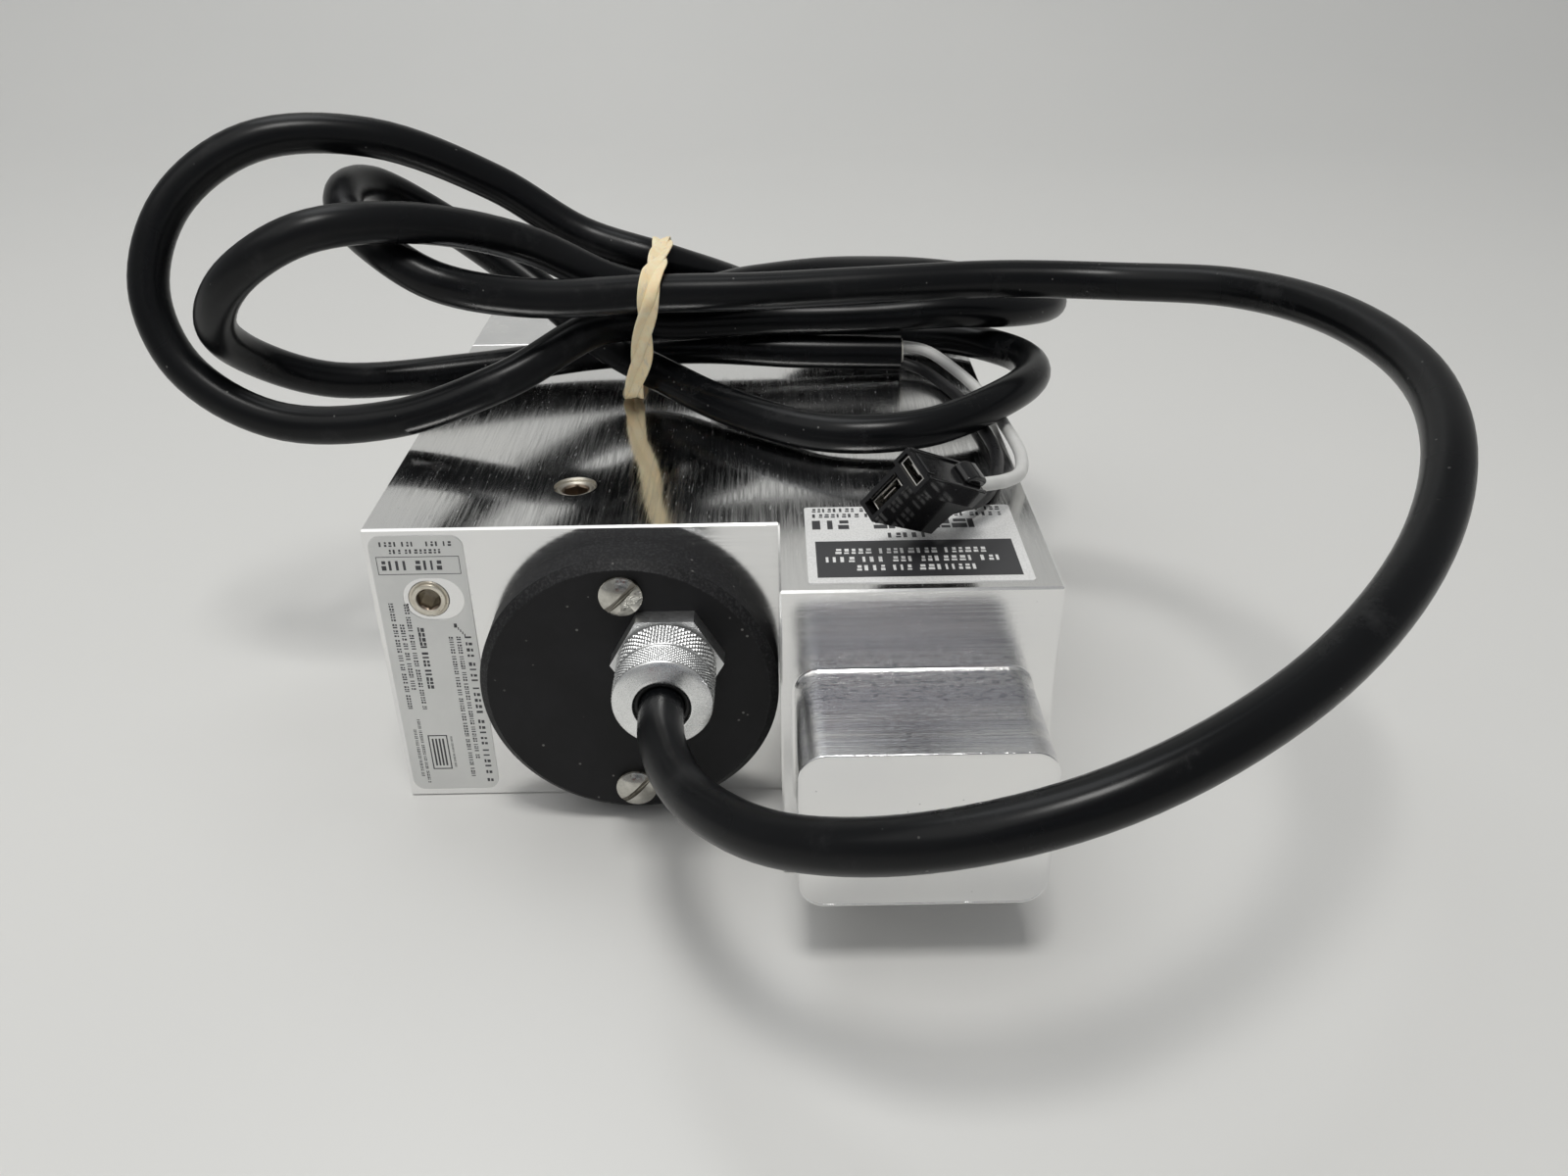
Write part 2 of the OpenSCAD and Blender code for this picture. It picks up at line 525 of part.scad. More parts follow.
// ---------- valves ----------
module relief_poppet(p) union() {
    rod_y(p[0], p[1], relief_y[0] + 2.2, relief_y[0] + 9, 8);
    translate([p[0], relief_y[0] + 2.21, p[1]]) rotate([90, 0, 0]) cylinder(h = 1.8, d1 = 7, d2 = 3.6);
}
module relief_spring(p)
    translate([p[0], rear_y - 8, p[1]]) rotate([90, 0, 0]) coil(11.2, 2.7, 1, 5);
module relief_plug(p) difference() {
    rod_y(p[0], p[1], rear_y - 7.9, rear_y - 0.5, 9.9);
    translate([p[0], rear_y - 0.4, p[1]]) rotate([90, 0, 0]) hex_cut(3.9, 4);
}
module relief_poppet_extend() color([0.7, 0.7, 0.72]) relief_poppet(relief_extend);
module relief_spring_extend() color([0.6, 0.6, 0.62]) relief_spring(relief_extend);
module relief_plug_extend() color([0.3, 0.3, 0.32]) relief_plug(relief_extend);
module relief_poppet_retract() color([0.7, 0.7, 0.72]) relief_poppet(relief_retract);
module relief_spring_retract() color([0.6, 0.6, 0.62]) relief_spring(relief_retract);
module relief_plug_retract() color([0.3, 0.3, 0.32]) relief_plug(relief_retract);
module spool_x(x0, x1, d) translate([x0, spool_y, spool_z]) rotate([0, 90, 0]) cylinder(h = x1 - x0, d = d);
module shuttle_spool() color([0.7, 0.7, 0.72]) difference() {
    spool_x(36, 82, 8);
    for (x = [44, 57, 70]) difference() { spool_x(x, x + 5, 10); spool_x(x - 1, x + 6, 5); }
}
module shuttle_plug() color([0.3, 0.3, 0.32]) difference() {
    spool_x(0.6, 7.8, 10.9);
    translate([0.5, spool_y, spool_z]) rotate([0, 90, 0]) hex_cut(3.9, 4);
}

// ---------- ram ----------
module ram_rod() color([0.82, 0.83, 0.85]) union() {
    rod_y(ram_x, mid_z, piston_y + piston_l, rear_y + 0.6, rod_d);
    rod_y(ram_x, mid_z, rear_y + 0.5, rear_y + 8.6, 10);
    rod_y(ram_x, mid_z, rod_y0 + 0.4, piston_y + piston_l + e, 14);
}
module ram_piston() color([0.7, 0.71, 0.73]) difference() {
    rod_y(ram_x, mid_z, piston_y, piston_y + piston_l, ram_bore_d - 0.1);
    rod_y(ram_x, mid_z, piston_y - 1, piston_y + piston_l + 1, 14);
    difference() {
        rod_y(ram_x, mid_z, piston_y + 7, piston_y + 11, ram_bore_d + 2);
        rod_y(ram_x, mid_z, piston_y + 6, piston_y + 12, ram_bore_d - 7);
    }
}
module piston_seal() color([0.12, 0.1, 0.1])
    ring_y(ram_x, mid_z, piston_y + 7.1, piston_y + 10.9, ram_bore_d - 0.06, ram_bore_d - 6.9);
module piston_nut() color([0.5, 0.5, 0.52]) difference() {
    translate([ram_x, piston_y, mid_z]) rotate([90, 0, 0]) cylinder(h = piston_nut_l, d = 22 / cos(30), $fn = 6);
    rod_y(ram_x, mid_z, piston_y - piston_nut_l - 1, piston_y + 1, 14);
}
module ram_eye() color([0.8, 0.81, 0.83]) difference() {
    union() {
        translate([ram_x - eye_w / 2, eye_y, mid_z]) rotate([0, 90, 0]) cylinder(h = eye_w, r = eye_r);
        rod_y(ram_x, mid_z, rear_y + 0.6, eye_y, 24);
    }
    rod_y(ram_x, mid_z, rear_y, rear_y + 8.6, 10);
    translate([ram_x - 20, eye_y, mid_z]) rotate([0, 90, 0]) cylinder(h = 40, d = eye_hole_d);
}
module rod_gland() color([0.72, 0.55, 0.28]) difference() {
    union() {
        rod_y(ram_x, mid_z, gland_y[0] + 0.2, main_l, gland_d + 6);
        rod_y(ram_x, mid_z, gland_y[0] + 1, gland_y[1] - 0.2, gland_d - 0.1);
    }
    rod_y(ram_x, mid_z, gland_y[0] - 1, gland_y[1] + 1, rod_d + 0.08);
    rod_y(ram_x, mid_z, 128, 132, rod_d + 5);
}
module rod_seal() color([0.12, 0.1, 0.1]) ring_y(ram_x, mid_z, 128.1, 131.9, rod_d + 4.9, rod_d + 0.06);
module rod_wiper() color([0.1, 0.1, 0.1])
    ring_y(ram_x, mid_z, rear_y - 4.9, rear_y + 0.2, gland_d - 0.1, rod_d + 0.06);

// ---------- cord ----------
module power_cable() color([0.03, 0.03, 0.03]) tube(cable_route, cable_d, 12);
module white_wire() color([0.9, 0.9, 0.88]) tube(white_route, wire_d, 8);
module black_wire() color([0.04, 0.04, 0.04]) tube(black_route, wire_d, 8);
module conn_frame() translate(conn_at) rotate(conn_turn) children();
module connector_housing() color([0.05, 0.05, 0.05]) conn_frame() difference() {
    union() {
        translate([0, -conn_low[0], 0]) cube([conn_l, conn_low[0], conn_low[1]]);
        translate([0, -conn_low[0] - conn_up[0], -2.4]) cube([conn_l, conn_up[0] + e, conn_up[1]]);
    }
    translate([-1, -conn_low[0] + 0.9, 1]) cube([16, conn_low[0] - 1.8, 3.4]);
    translate([-1, -conn_low[0] - conn_up[0] + 0.8, -1.5]) cube([16, 2.7, conn_up[1] - 1.8]);
}
module connector_terminals() color([0.8, 0.7, 0.4]) conn_frame() {
    translate([2, -conn_low[0] + 2.4, 1.1]) cube([13, 6.3, 0.8]);
    translate([2, -conn_low[0] - conn_up[0] + 0.9, -0.9]) cube([13, 0.8, 6.3]);
}
module rubber_band() color([0.8, 0.68, 0.5]) difference() {
    band_hull(band_x[0], band_x[1], band_out);
    band_hull(band_x[0] - 1, band_x[1] + 1, band_in);
}
module band_hull(x0, x1, r) hull()
    for (p = band_pts) translate([x0, p[0], p[1]]) rotate([0, 90, 0]) cylinder(h = x1 - x0, r = r, $fn = 24);

placed() main_housing();
placed() rear_block();
placed() rear_block_screws();
placed() rear_block_seals();
placed() motor_end_cap();
placed() end_cap_screws();
placed() end_cap_o_ring();
placed() cord_grip_body();
placed() cord_grip_nut();
placed() cord_grip_grommet();
placed() filler_plug();
placed() vent_plug();
placed() front_label();
placed() top_label();
placed() motor_case();
placed() motor_magnets();
placed() brush_plate();
placed() carbon_brushes();
placed() brush_springs();
placed() front_bearing();
placed() rear_bearing();
placed() motor_shaft();
placed() armature_core();
placed() armature_windings();
placed() commutator();
placed() motor_rear_plate();
placed() shaft_seal();
placed() pump_body();
placed() pump_cover();
placed() pump_drive_gear();
placed() pump_idler_gear();
placed() relief_poppet_extend();
placed() relief_spring_extend();
placed() relief_plug_extend();
placed() relief_poppet_retract();
placed() relief_spring_retract();
placed() relief_plug_retract();
placed() shuttle_spool();
placed() shuttle_plug();
placed() ram_rod();
placed() ram_piston();
placed() piston_seal();
placed() piston_nut();
placed() ram_eye();
placed() rod_gland();
placed() rod_seal();
placed() rod_wiper();
placed() power_cable();
placed() white_wire();
placed() black_wire();
placed() connector_housing();
placed() connector_terminals();
placed() rubber_band();
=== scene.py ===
"""Looks of the linear actuator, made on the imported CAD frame. Lengths in metres unless a name says mm."""
import bmesh
import bpy
import json
import math
import random
from mathutils import Vector, Matrix


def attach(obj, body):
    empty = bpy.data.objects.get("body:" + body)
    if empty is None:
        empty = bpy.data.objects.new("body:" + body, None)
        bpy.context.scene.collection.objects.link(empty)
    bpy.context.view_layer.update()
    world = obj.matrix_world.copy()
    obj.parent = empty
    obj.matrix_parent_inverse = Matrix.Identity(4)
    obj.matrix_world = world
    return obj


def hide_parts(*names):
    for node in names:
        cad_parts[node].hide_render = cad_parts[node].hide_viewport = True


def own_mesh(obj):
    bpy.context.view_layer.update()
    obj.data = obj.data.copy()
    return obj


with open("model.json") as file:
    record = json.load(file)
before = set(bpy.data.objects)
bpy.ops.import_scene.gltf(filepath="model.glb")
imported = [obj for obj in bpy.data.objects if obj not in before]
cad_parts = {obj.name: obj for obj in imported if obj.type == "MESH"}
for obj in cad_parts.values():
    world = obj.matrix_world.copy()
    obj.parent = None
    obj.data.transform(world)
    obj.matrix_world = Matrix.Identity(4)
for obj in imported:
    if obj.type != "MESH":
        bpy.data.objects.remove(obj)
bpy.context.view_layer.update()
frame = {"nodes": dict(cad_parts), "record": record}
nodes = frame["nodes"]
MM = 0.001
# Places in part.scad's drawing, in mm.
ORIGIN = Vector((76.7, 71.25, 0.0))      # the row frame's origin
MOTOR_X, MOTOR_Z = 59.3, 38.1            # motor axis, along Y
GRIP_X, GRIP_Z = 69.0, 49.1              # cord grip axis, along Y
FILLER_TOP = (13.1, -0.6, 58.0)          # top of the filler plug's head, facing -Y
VENT_TOP = (46.0, 21.5, 75.6)            # top of the vent plug's head, facing +Z
FRONT_LABEL_Y = -0.25                    # outer faces of the two labels
TOP_LABEL_Z = 76.45
CABLE_D, WIRE_D = 0.0098, 0.0032


def P(x, y, z):
    """A point given in part.scad's drawing millimetres, in the row frame."""
    return (Vector((x, y, z)) - ORIGIN) * MM


def link(obj):
    bpy.context.scene.collection.objects.link(obj)
    return obj


# ---------------------------------------------------------------- camera
# Place, turn and lens were solved from the body's corners and circles in the photograph.
YAW, PITCH, ROLL = 0.0074, 0.5198, -0.0128
fwd = Vector((math.sin(YAW) * math.cos(PITCH), math.cos(YAW) * math.cos(PITCH), -math.sin(PITCH)))
right = Vector((math.cos(YAW), -math.sin(YAW), 0.0))
up = right.cross(fwd)
right, up = (math.cos(ROLL) * right + math.sin(ROLL) * up, -math.sin(ROLL) * right + math.cos(ROLL) * up)
cam_data = bpy.data.cameras.new("camera")
cam_data.sensor_width = 36.0
cam_data.lens = 28.984
cam_data.clip_start = 0.01
camera = link(bpy.data.objects.new("camera", cam_data))
turn = Matrix((right, up, -fwd)).transposed().to_4x4()
camera.matrix_world = Matrix.Translation(P(93.849, -254.898, 205.218)) @ turn
bpy.context.scene.camera = camera
bpy.context.scene.view_settings.view_transform = "Standard"
bpy.context.scene.view_settings.look = "None"


# ---------------------------------------------------------------- node materials
class Mat:
    """A short way to write a node material."""

    def __init__(self, name):
        self.m = bpy.data.materials.new(name)
        self.m.use_nodes = True
        self.t = self.m.node_tree
        self.t.nodes.clear()
        self.out = self.t.nodes.new("ShaderNodeOutputMaterial")

    def n(self, kind, ins=None, **props):
        node = self.t.nodes.new("ShaderNode" + kind)
        for k, v in props.items():
            setattr(node, k, v)
        for k, v in (ins or {}).items():
            if isinstance(v, bpy.types.NodeSocket):
                self.t.links.new(v, node.inputs[k])
            else:
                node.inputs[k].default_value = v
        return node

    def coord(self, scale=(1, 1, 1), rot=(0, 0, 0)):
        c = self.n("TexCoord").outputs["Object"]
        return self.n("Mapping", {"Vector": c, "Scale": scale, "Rotation": rot}).outputs[0]

    def xyz(self, vec):
        return self.n("SeparateXYZ", {0: vec}).outputs

    def from_point(self, centre):
        """Object coordinates measured from a point, as X, Y and Z."""
        return self.xyz(self.n("VectorMath", {0: self.coord(), 1: centre}, operation="SUBTRACT").outputs[0])

    def noise(self, vec, scale, detail=4.0, rough=0.55):
        ins = {"Vector": vec, "Scale": scale, "Detail": detail, "Roughness": rough}
        return self.n("TexNoise", ins).outputs[0]

    def rings(self, rad, scale, detail, rough):
        """Noise that changes only with the distance from an axis, as turning marks do."""
        return self.noise(self.n("CombineXYZ", {0: rad}).outputs[0], scale, detail, rough)

    def ramp(self, fac, a, b, lo=0.0, hi=1.0):
        """fac from a..b mapped to lo..hi, clamped and eased."""
        return self.n("MapRange", {0: fac, 1: a, 2: b, 3: lo, 4: hi}, clamp=True,
                      interpolation_type="SMOOTHSTEP").outputs[0]

    def math(self, op, a, b=0.0):
        return self.n("Math", {0: a, 1: b}, operation=op).outputs[0]

    def times(self, a, *others):
        for b in others:
            a = self.math("MULTIPLY", a, b)
        return a

    def plus(self, a, b):
        return self.math("ADD", a, b)

    def inverse(self, a):
        return self.math("SUBTRACT", 1.0, a)

    def radius(self, u, v):
        return self.math("SQRT", self.plus(self.times(u, u), self.times(v, v)))

    def mix(self, fac, a, b):
        return self.n("MixRGB", {0: fac, 1: a, 2: b}).outputs[0]

    def bump(self, height, strength, dist, normal=None):
        ins = {"Height": height, "Strength": strength, "Distance": dist}
        if normal is not None:
            ins["Normal"] = normal
        return self.n("Bump", ins).outputs[0]

    def specks(self, density, size, seed=0.0):
        """A mask of scattered dust specks."""
        v = self.n("TexVoronoi", {"Vector": self.coord(), "Scale": density, "Randomness": 1.0})
        near = self.ramp(v.outputs["Distance"], size, size * 1.8, 1.0, 0.0)
        pick = self.ramp(self.noise(self.coord(rot=(seed, 1, 2)), density * 0.31, 2.0), 0.53, 0.58)
        return self.times(near, pick)

    def done(self, **ins):
        names = {"color": "Base Color", "metal": "Metallic", "rough": "Roughness", "normal": "Normal",
                 "spec": "Specular IOR Level", "sub": "Subsurface Weight", "sub_radius": "Subsurface Radius",
                 "sub_scale": "Subsurface Scale"}
        bsdf = self.n("BsdfPrincipled", {names[k]: v for k, v in ins.items()})
        self.t.links.new(bsdf.outputs[0], self.out.inputs[0])
        return self.m


def rgb(r, g, b):
    return (r, g, b, 1.0)


def polished_billet():
    """Mirror-polished top with hairlines and haze, finer upright faces, milled boss."""
    g = Mat("billet")
    facing = g.xyz(g.n("NewGeometry").outputs["Normal"])
    y = g.xyz(g.coord())[1]
    top = g.ramp(g.math("ABSOLUTE", facing[2]), 0.6, 0.9)
    side = g.ramp(g.math("ABSOLUTE", facing[0]), 0.6, 0.9)
    top_or_side, not_top = g.plus(top, side), g.inverse(top)
    # the boss is everything in front of the ram side's face, and its walls are all but its front
    boss = g.ramp(y, -0.1026, -0.1029)
    walls = g.times(boss, g.ramp(facing[1], -0.9, -0.6))
    # hairlines along X, along Y and slanting, the last two in patches
    warp = g.noise(g.coord(), 9.0, 3.0, 0.5)
    lines_x = g.noise(g.coord((40, 2600, 2600)), 1.0, 3.0, 0.6)
    lines_y = g.noise(g.coord((2400, 34, 2400), (0, 0, 0.35)), 1.0, 3.0, 0.6)
    lines_d = g.noise(g.coord((1900, 60, 1900), (0, 0, -0.7)), 1.0, 2.0, 0.6)
    patch = g.ramp(g.noise(g.coord(), 38.0, 3.0), 0.42, 0.62)
    hair = g.plus(g.times(lines_y, patch), g.times(lines_d, g.inverse(patch)))
    grain = g.noise(g.coord((700, 700, 700)), 1.0, 4.0, 0.7)
    pits = g.specks(420.0, 0.045)
    wave = g.noise(g.coord((1, 0.6, 1)), 26.0, 2.0, 0.4)
    # two directions of deeper scratches, each in its own patches
    scratch_a = g.noise(g.coord((3400, 260, 3400), (0, 0, 0.9)), 1.0, 3.0, 0.6)
    scratch_b = g.noise(g.coord((3000, 200, 3000), (0, 0, -0.25)), 1.0, 3.0, 0.6)
    scratch = g.math("MAXIMUM", g.times(g.ramp(scratch_a, 0.66, 0.72), g.ramp(warp, 0.4, 0.6)),
                     g.times(g.ramp(scratch_b, 0.66, 0.72), g.ramp(warp, 0.6, 0.4)))
    # milling: steps of the cutter along the boss, with fine lines in each
    mill = g.noise(g.coord((30, 1500, 1500)), 1.0, 5.0, 0.75)
    steps = g.noise(g.coord((4, 240, 240)), 1.0, 1.0, 0.3)
    combed = g.noise(g.coord((1600, 30, 40)), 1.0, 4.0, 0.7)
    chatter = g.noise(g.coord((900, 90, 90)), 1.0, 2.0, 0.6)
    rough_top = g.plus(g.ramp(hair, 0.3, 0.75, 0.07, 0.19), g.ramp(warp, 0.35, 0.7, 0.0, 0.09))
    rough_top = g.plus(rough_top, g.times(scratch, 0.22))
    rough_front = g.plus(g.ramp(lines_x, 0.3, 0.75, 0.08, 0.17), g.ramp(warp, 0.3, 0.7, 0.0, 0.05))
    rough_boss = g.plus(g.ramp(mill, 0.3, 0.7, 0.03, 0.12), g.ramp(steps, 0.4, 0.6, 0.0, 0.08))
    rough = g.mix(walls, g.mix(top, rough_front, rough_top), rough_boss)
    tone = g.ramp(g.noise(g.coord(), 14.0, 5.0, 0.6), 0.3, 0.75)
    color = g.mix(tone, rgb(0.86, 0.862, 0.865), rgb(0.93, 0.925, 0.91))
    color = g.mix(g.times(walls, g.ramp(steps, 0.42, 0.6)), color, rgb(0.78, 0.78, 0.80))
    # the cutter's first pass, next to the root, is coarser and ends in a line
    first = g.times(walls, g.ramp(y, -0.1146, -0.1143))
    speck = g.ramp(g.noise(g.coord((500, 900, 900)), 1.0, 4.0, 0.75), 0.5, 0.62)
    color = g.mix(g.times(first, speck, 0.55), color, rgb(0.30, 0.31, 0.36))
    color = g.mix(g.times(walls, g.ramp(mill, 0.52, 0.66), 0.6), color, rgb(0.42, 0.42, 0.46))
    color = g.mix(g.times(pits, 0.7), color, rgb(0.3, 0.3, 0.31))
    # arcs that a face cutter leaves on the boss's front
    from_cutter = g.from_point(P(140, -61, -14))
    arcs = g.rings(g.radius(from_cutter[0], from_cutter[2]), 900.0, 4.0, 0.7)
    normal = g.bump(wave, g.times(g.inverse(g.times(top, 0.35)), 0.16), 0.0016)
    for height, strength, dist in (
            (hair, g.times(top_or_side, 0.26), 0.00003), (scratch, g.times(top_or_side, -0.3), 0.00002),
            (lines_x, g.times(not_top, 0.1), 0.00003), (grain, 0.09, 0.00003),
            (combed, g.times(not_top, 0.14), 0.00003),
            (arcs, g.times(g.math("SUBTRACT", boss, walls), 0.3), 0.00003),
            (mill, g.times(walls, 0.8), 0.00012), (chatter, g.times(walls, 0.3), 0.00005)):
        normal = g.bump(height, strength, dist, normal)
    return g.done(color=color, metal=1.0, rough=rough, normal=normal)


def metal(name, base, dark, rough=(0.15, 0.35), stretch=(1, 1, 1), scale=600.0, bump=0.15, spots=0.0):
    g = Mat(name)
    fine = g.noise(g.coord(stretch), scale, 4.0, 0.65)
    cloud = g.noise(g.coord(), 90.0, 4.0, 0.6)
    color = g.mix(g.ramp(cloud, 0.35, 0.7), rgb(*base), rgb(*dark))
    if spots:
        color = g.mix(g.times(g.specks(700.0, 0.08, 1.0), spots), color, rgb(0.05, 0.04, 0.035))
    r = g.plus(g.ramp(fine, 0.3, 0.7, *rough), g.ramp(cloud, 0.3, 0.7, 0.0, 0.08))
    return g.done(color=color, metal=1.0, rough=r, normal=g.bump(fine, bump, 0.00005))


def plastic(name, base, light, rough=(0.35, 0.5), scale=900.0, bump=0.1, dust=0.0):
    g = Mat(name)
    fine = g.noise(g.coord(), scale, 4.0, 0.65)
    cloud = g.noise(g.coord(), 60.0, 4.0, 0.6)
    color = g.mix(g.ramp(cloud, 0.35, 0.72), rgb(*base), rgb(*light))
    if dust:
        color = g.mix(g.times(g.specks(520.0, 0.06, 2.0), dust), color, rgb(0.42, 0.41, 0.39))
    r = g.plus(g.ramp(fine, 0.3, 0.7, *rough), g.ramp(cloud, 0.3, 0.7, -0.03, 0.05))
    return g.done(color=color, rough=r, spec=0.5, normal=g.bump(fine, bump, 0.00006))


def cap_black():
    """Matte anodised face with faint turning rings, a worn rim and dust."""
    g = Mat("cap_black")
    from_axis = g.from_point(P(MOTOR_X, 0, MOTOR_Z))
    rad = g.radius(from_axis[0], from_axis[2])
    rings = g.rings(rad, 5200.0, 2.0, 0.5)
    fine = g.noise(g.coord(), 1500.0, 4.0, 0.7)
    cloud = g.noise(g.coord(), 70.0, 5.0, 0.6)
    color = g.mix(g.ramp(cloud, 0.3, 0.75), rgb(0.0055, 0.0055, 0.0062), rgb(0.013, 0.013, 0.0142))
    rim = g.times(g.ramp(rad, 0.0325, 0.0329), g.ramp(fine, 0.45, 0.65))
    color = g.mix(g.times(rim, 0.3), color, rgb(0.08, 0.08, 0.082))
    color = g.mix(g.times(g.specks(330.0, 0.07, 3.0), 0.45), color, rgb(0.34, 0.33, 0.31))
    r = g.plus(g.ramp(cloud, 0.3, 0.7, 0.5, 0.62), g.ramp(rings, 0.4, 0.6, -0.03, 0.03))
    normal = g.bump(rings, 0.08, 0.00004, g.bump(fine, 0.22, 0.00008))
    return g.done(color=color, rough=r, spec=0.26, normal=normal)


def jacket():
    """Black cable jacket: satin, with scuffs and dust."""
    g = Mat("cable_jacket")
    fine = g.noise(g.coord(), 1100.0, 3.0, 0.6)
    scuff = g.ramp(g.noise(g.coord(), 55.0, 6.0, 0.7), 0.56, 0.72)
    soft = g.noise(g.coord(), 18.0, 3.0, 0.5)
    color = g.mix(g.ramp(soft, 0.3, 0.7), rgb(0.0028, 0.0032, 0.0038), rgb(0.0062, 0.0066, 0.0074))
    color = g.mix(g.times(scuff, 0.35), color, rgb(0.035, 0.035, 0.036))
    color = g.mix(g.times(g.specks(260.0, 0.05, 4.0), 0.28), color, rgb(0.4, 0.4, 0.38))
    r = g.plus(g.ramp(soft, 0.3, 0.7, 0.24, 0.31), g.times(scuff, 0.12))
    return g.done(color=color, rough=r, spec=0.2, normal=g.bump(fine, 0.07, 0.00005))


def plug_metal():
    """Nickel plugs with a dull yellow tone, darker brown in the socket."""
    g = Mat("plug_metal")
    fine = g.noise(g.coord(), 1600.0, 4.0, 0.65)
    cloud = g.noise(g.coord(), 240.0, 4.0, 0.6)

    def socket(head_top, u, v, along, radius, fades_at, full_to):
        """Close to a plug's axis, and down to a given depth below the top of its head."""
        c = g.from_point(P(*head_top))
        near = g.ramp(g.radius(c[u], c[v]), radius, radius + 0.0003, 1.0, 0.0)
        return g.times(near, g.ramp(c[along], fades_at, full_to))

    sock = g.plus(socket(FILLER_TOP, 0, 2, 1, 0.0027, 0.002, 0.001),
                  socket(VENT_TOP, 0, 1, 2, 0.0032, -0.006, -0.005))
    color = g.mix(g.ramp(cloud, 0.35, 0.7), rgb(0.76, 0.72, 0.63), rgb(0.62, 0.57, 0.48))
    color = g.mix(g.times(g.specks(900.0, 0.1, 1.0), 0.8), color, rgb(0.08, 0.06, 0.04))
    # darker brown in the sockets, down to a given depth
    color = g.mix(g.times(sock, 0.78), color, rgb(0.13, 0.075, 0.04))
    r = g.plus(g.ramp(fine, 0.3, 0.7, 0.24, 0.38), g.ramp(cloud, 0.3, 0.7, 0.0, 0.08))
    return g.done(color=color, metal=1.0, rough=r, normal=g.bump(fine, 0.3, 0.00005))


def screw_steel():
    """Nickel-like heads, scuffed, with painted shade in the slot, which is turned 45 degrees."""
    g = Mat("screw_steel")
    fine = g.noise(g.coord((1, 1, 3)), 1500.0, 4.0, 0.65)
    cloud = g.noise(g.coord(), 300.0, 4.0, 0.6)
    from_axis = g.from_point(P(MOTOR_X, 0, MOTOR_Z))
    screw_offset = 0.0268                # of the two screws, above and below the motor axis
    dz = g.math("SUBTRACT", from_axis[2], g.times(g.math("SIGN", from_axis[2]), screw_offset))
    off = g.math("ABSOLUTE", g.times(g.math("SUBTRACT", from_axis[0], dz), math.sqrt(0.5)))
    slot = g.ramp(off, 0.00045, 0.0007, 1.0, 0.0)
    color = g.mix(g.ramp(cloud, 0.35, 0.7), rgb(0.66, 0.645, 0.59), rgb(0.42, 0.405, 0.365))
    # painted shade: the slot's stripe across each head is darkened in the colour
    color = g.mix(g.times(slot, 0.75), color, rgb(0.05, 0.04, 0.03))
    color = g.mix(g.times(g.specks(700.0, 0.08, 1.0), 0.8), color, rgb(0.06, 0.05, 0.04))
    r = g.plus(g.ramp(fine, 0.3, 0.7, 0.05, 0.12), g.ramp(cloud, 0.3, 0.7, 0.0, 0.08))
    return g.done(color=color, metal=1.0, rough=r, normal=g.bump(fine, 0.15, 0.00004))


def label_silver():
    g = Mat("label_silver")
    fine = g.noise(g.coord((3, 1, 1)), 1600.0, 3.0, 0.7)
    cloud = g.noise(g.coord(), 50.0, 4.0, 0.6)
    color = g.mix(g.ramp(cloud, 0.3, 0.7), rgb(0.70, 0.705, 0.695), rgb(0.76, 0.765, 0.75))
    r = g.ramp(fine, 0.3, 0.7, 0.34, 0.46)
    return g.done(color=color, metal=0.55, rough=r, normal=g.bump(fine, 0.06, 0.00004))


def label_white():
    g = Mat("label_white")
    fine = g.noise(g.coord(), 2200.0, 3.0, 0.7)
    cloud = g.noise(g.coord(), 60.0, 4.0, 0.6)
    color = g.mix(g.ramp(cloud, 0.3, 0.75), rgb(0.80, 0.80, 0.79), rgb(0.73, 0.73, 0.72))
    r = g.ramp(fine, 0.3, 0.7, 0.22, 0.34)
    return g.done(color=color, rough=r, spec=0.5, normal=g.bump(fine, 0.05, 0.00004))


def ink(name, base, rough=0.35):
    g = Mat(name)
    fine = g.noise(g.coord(), 3000.0, 3.0, 0.7)
    color = g.mix(g.ramp(fine, 0.3, 0.75), rgb(*base), rgb(*[c * 1.35 + 0.004 for c in base]))
    r = g.ramp(fine, 0.3, 0.7, rough - 0.05, rough + 0.08)
    return g.done(color=color, rough=r, normal=g.bump(fine, 0.05, 0.00002))


def band_rubber():
    """Tan rubber: slightly translucent, with lengthwise creases and a dry bloom."""
    g = Mat("band")
    fine = g.noise(g.coord((900, 300, 300), (0.5, 0, 0)), 1.0, 4.0, 0.6)
    cloud = g.noise(g.coord(), 260.0, 4.0, 0.6)
    color = g.mix(g.ramp(cloud, 0.3, 0.7), rgb(0.97, 0.74, 0.45), rgb(0.98, 0.84, 0.58))
    color = g.mix(g.ramp(fine, 0.55, 0.75), color, rgb(0.78, 0.66, 0.5))
    return g.done(color=color, rough=g.ramp(fine, 0.3, 0.7, 0.42, 0.6), sub=0.25, sub_scale=0.0015,
                  sub_radius=(1.0, 0.5, 0.3), normal=g.bump(fine, 0.35, 0.0001))


def knurled_aluminium():
    """The grip nut's metal, with faint rings round its axis."""
    g = Mat("turned_knurl")
    fine = g.noise(g.coord(), 2600.0, 4.0, 0.7)
    cloud = g.noise(g.coord(), 130.0, 4.0, 0.6)
    from_axis = g.from_point(P(GRIP_X, 0, GRIP_Z))
    rings = g.rings(g.radius(from_axis[0], from_axis[2]), 9000.0, 2.0, 0.5)
    color = g.mix(g.ramp(cloud, 0.3, 0.7), rgb(0.88, 0.885, 0.88), rgb(0.76, 0.765, 0.76))
    r = g.plus(g.ramp(fine, 0.3, 0.7, 0.18, 0.3), g.ramp(rings, 0.4, 0.6, 0.0, 0.06))
    normal = g.bump(rings, 0.12, 0.00003, g.bump(fine, 0.18, 0.00004))
    return g.done(color=color, metal=1.0, rough=r, normal=normal)


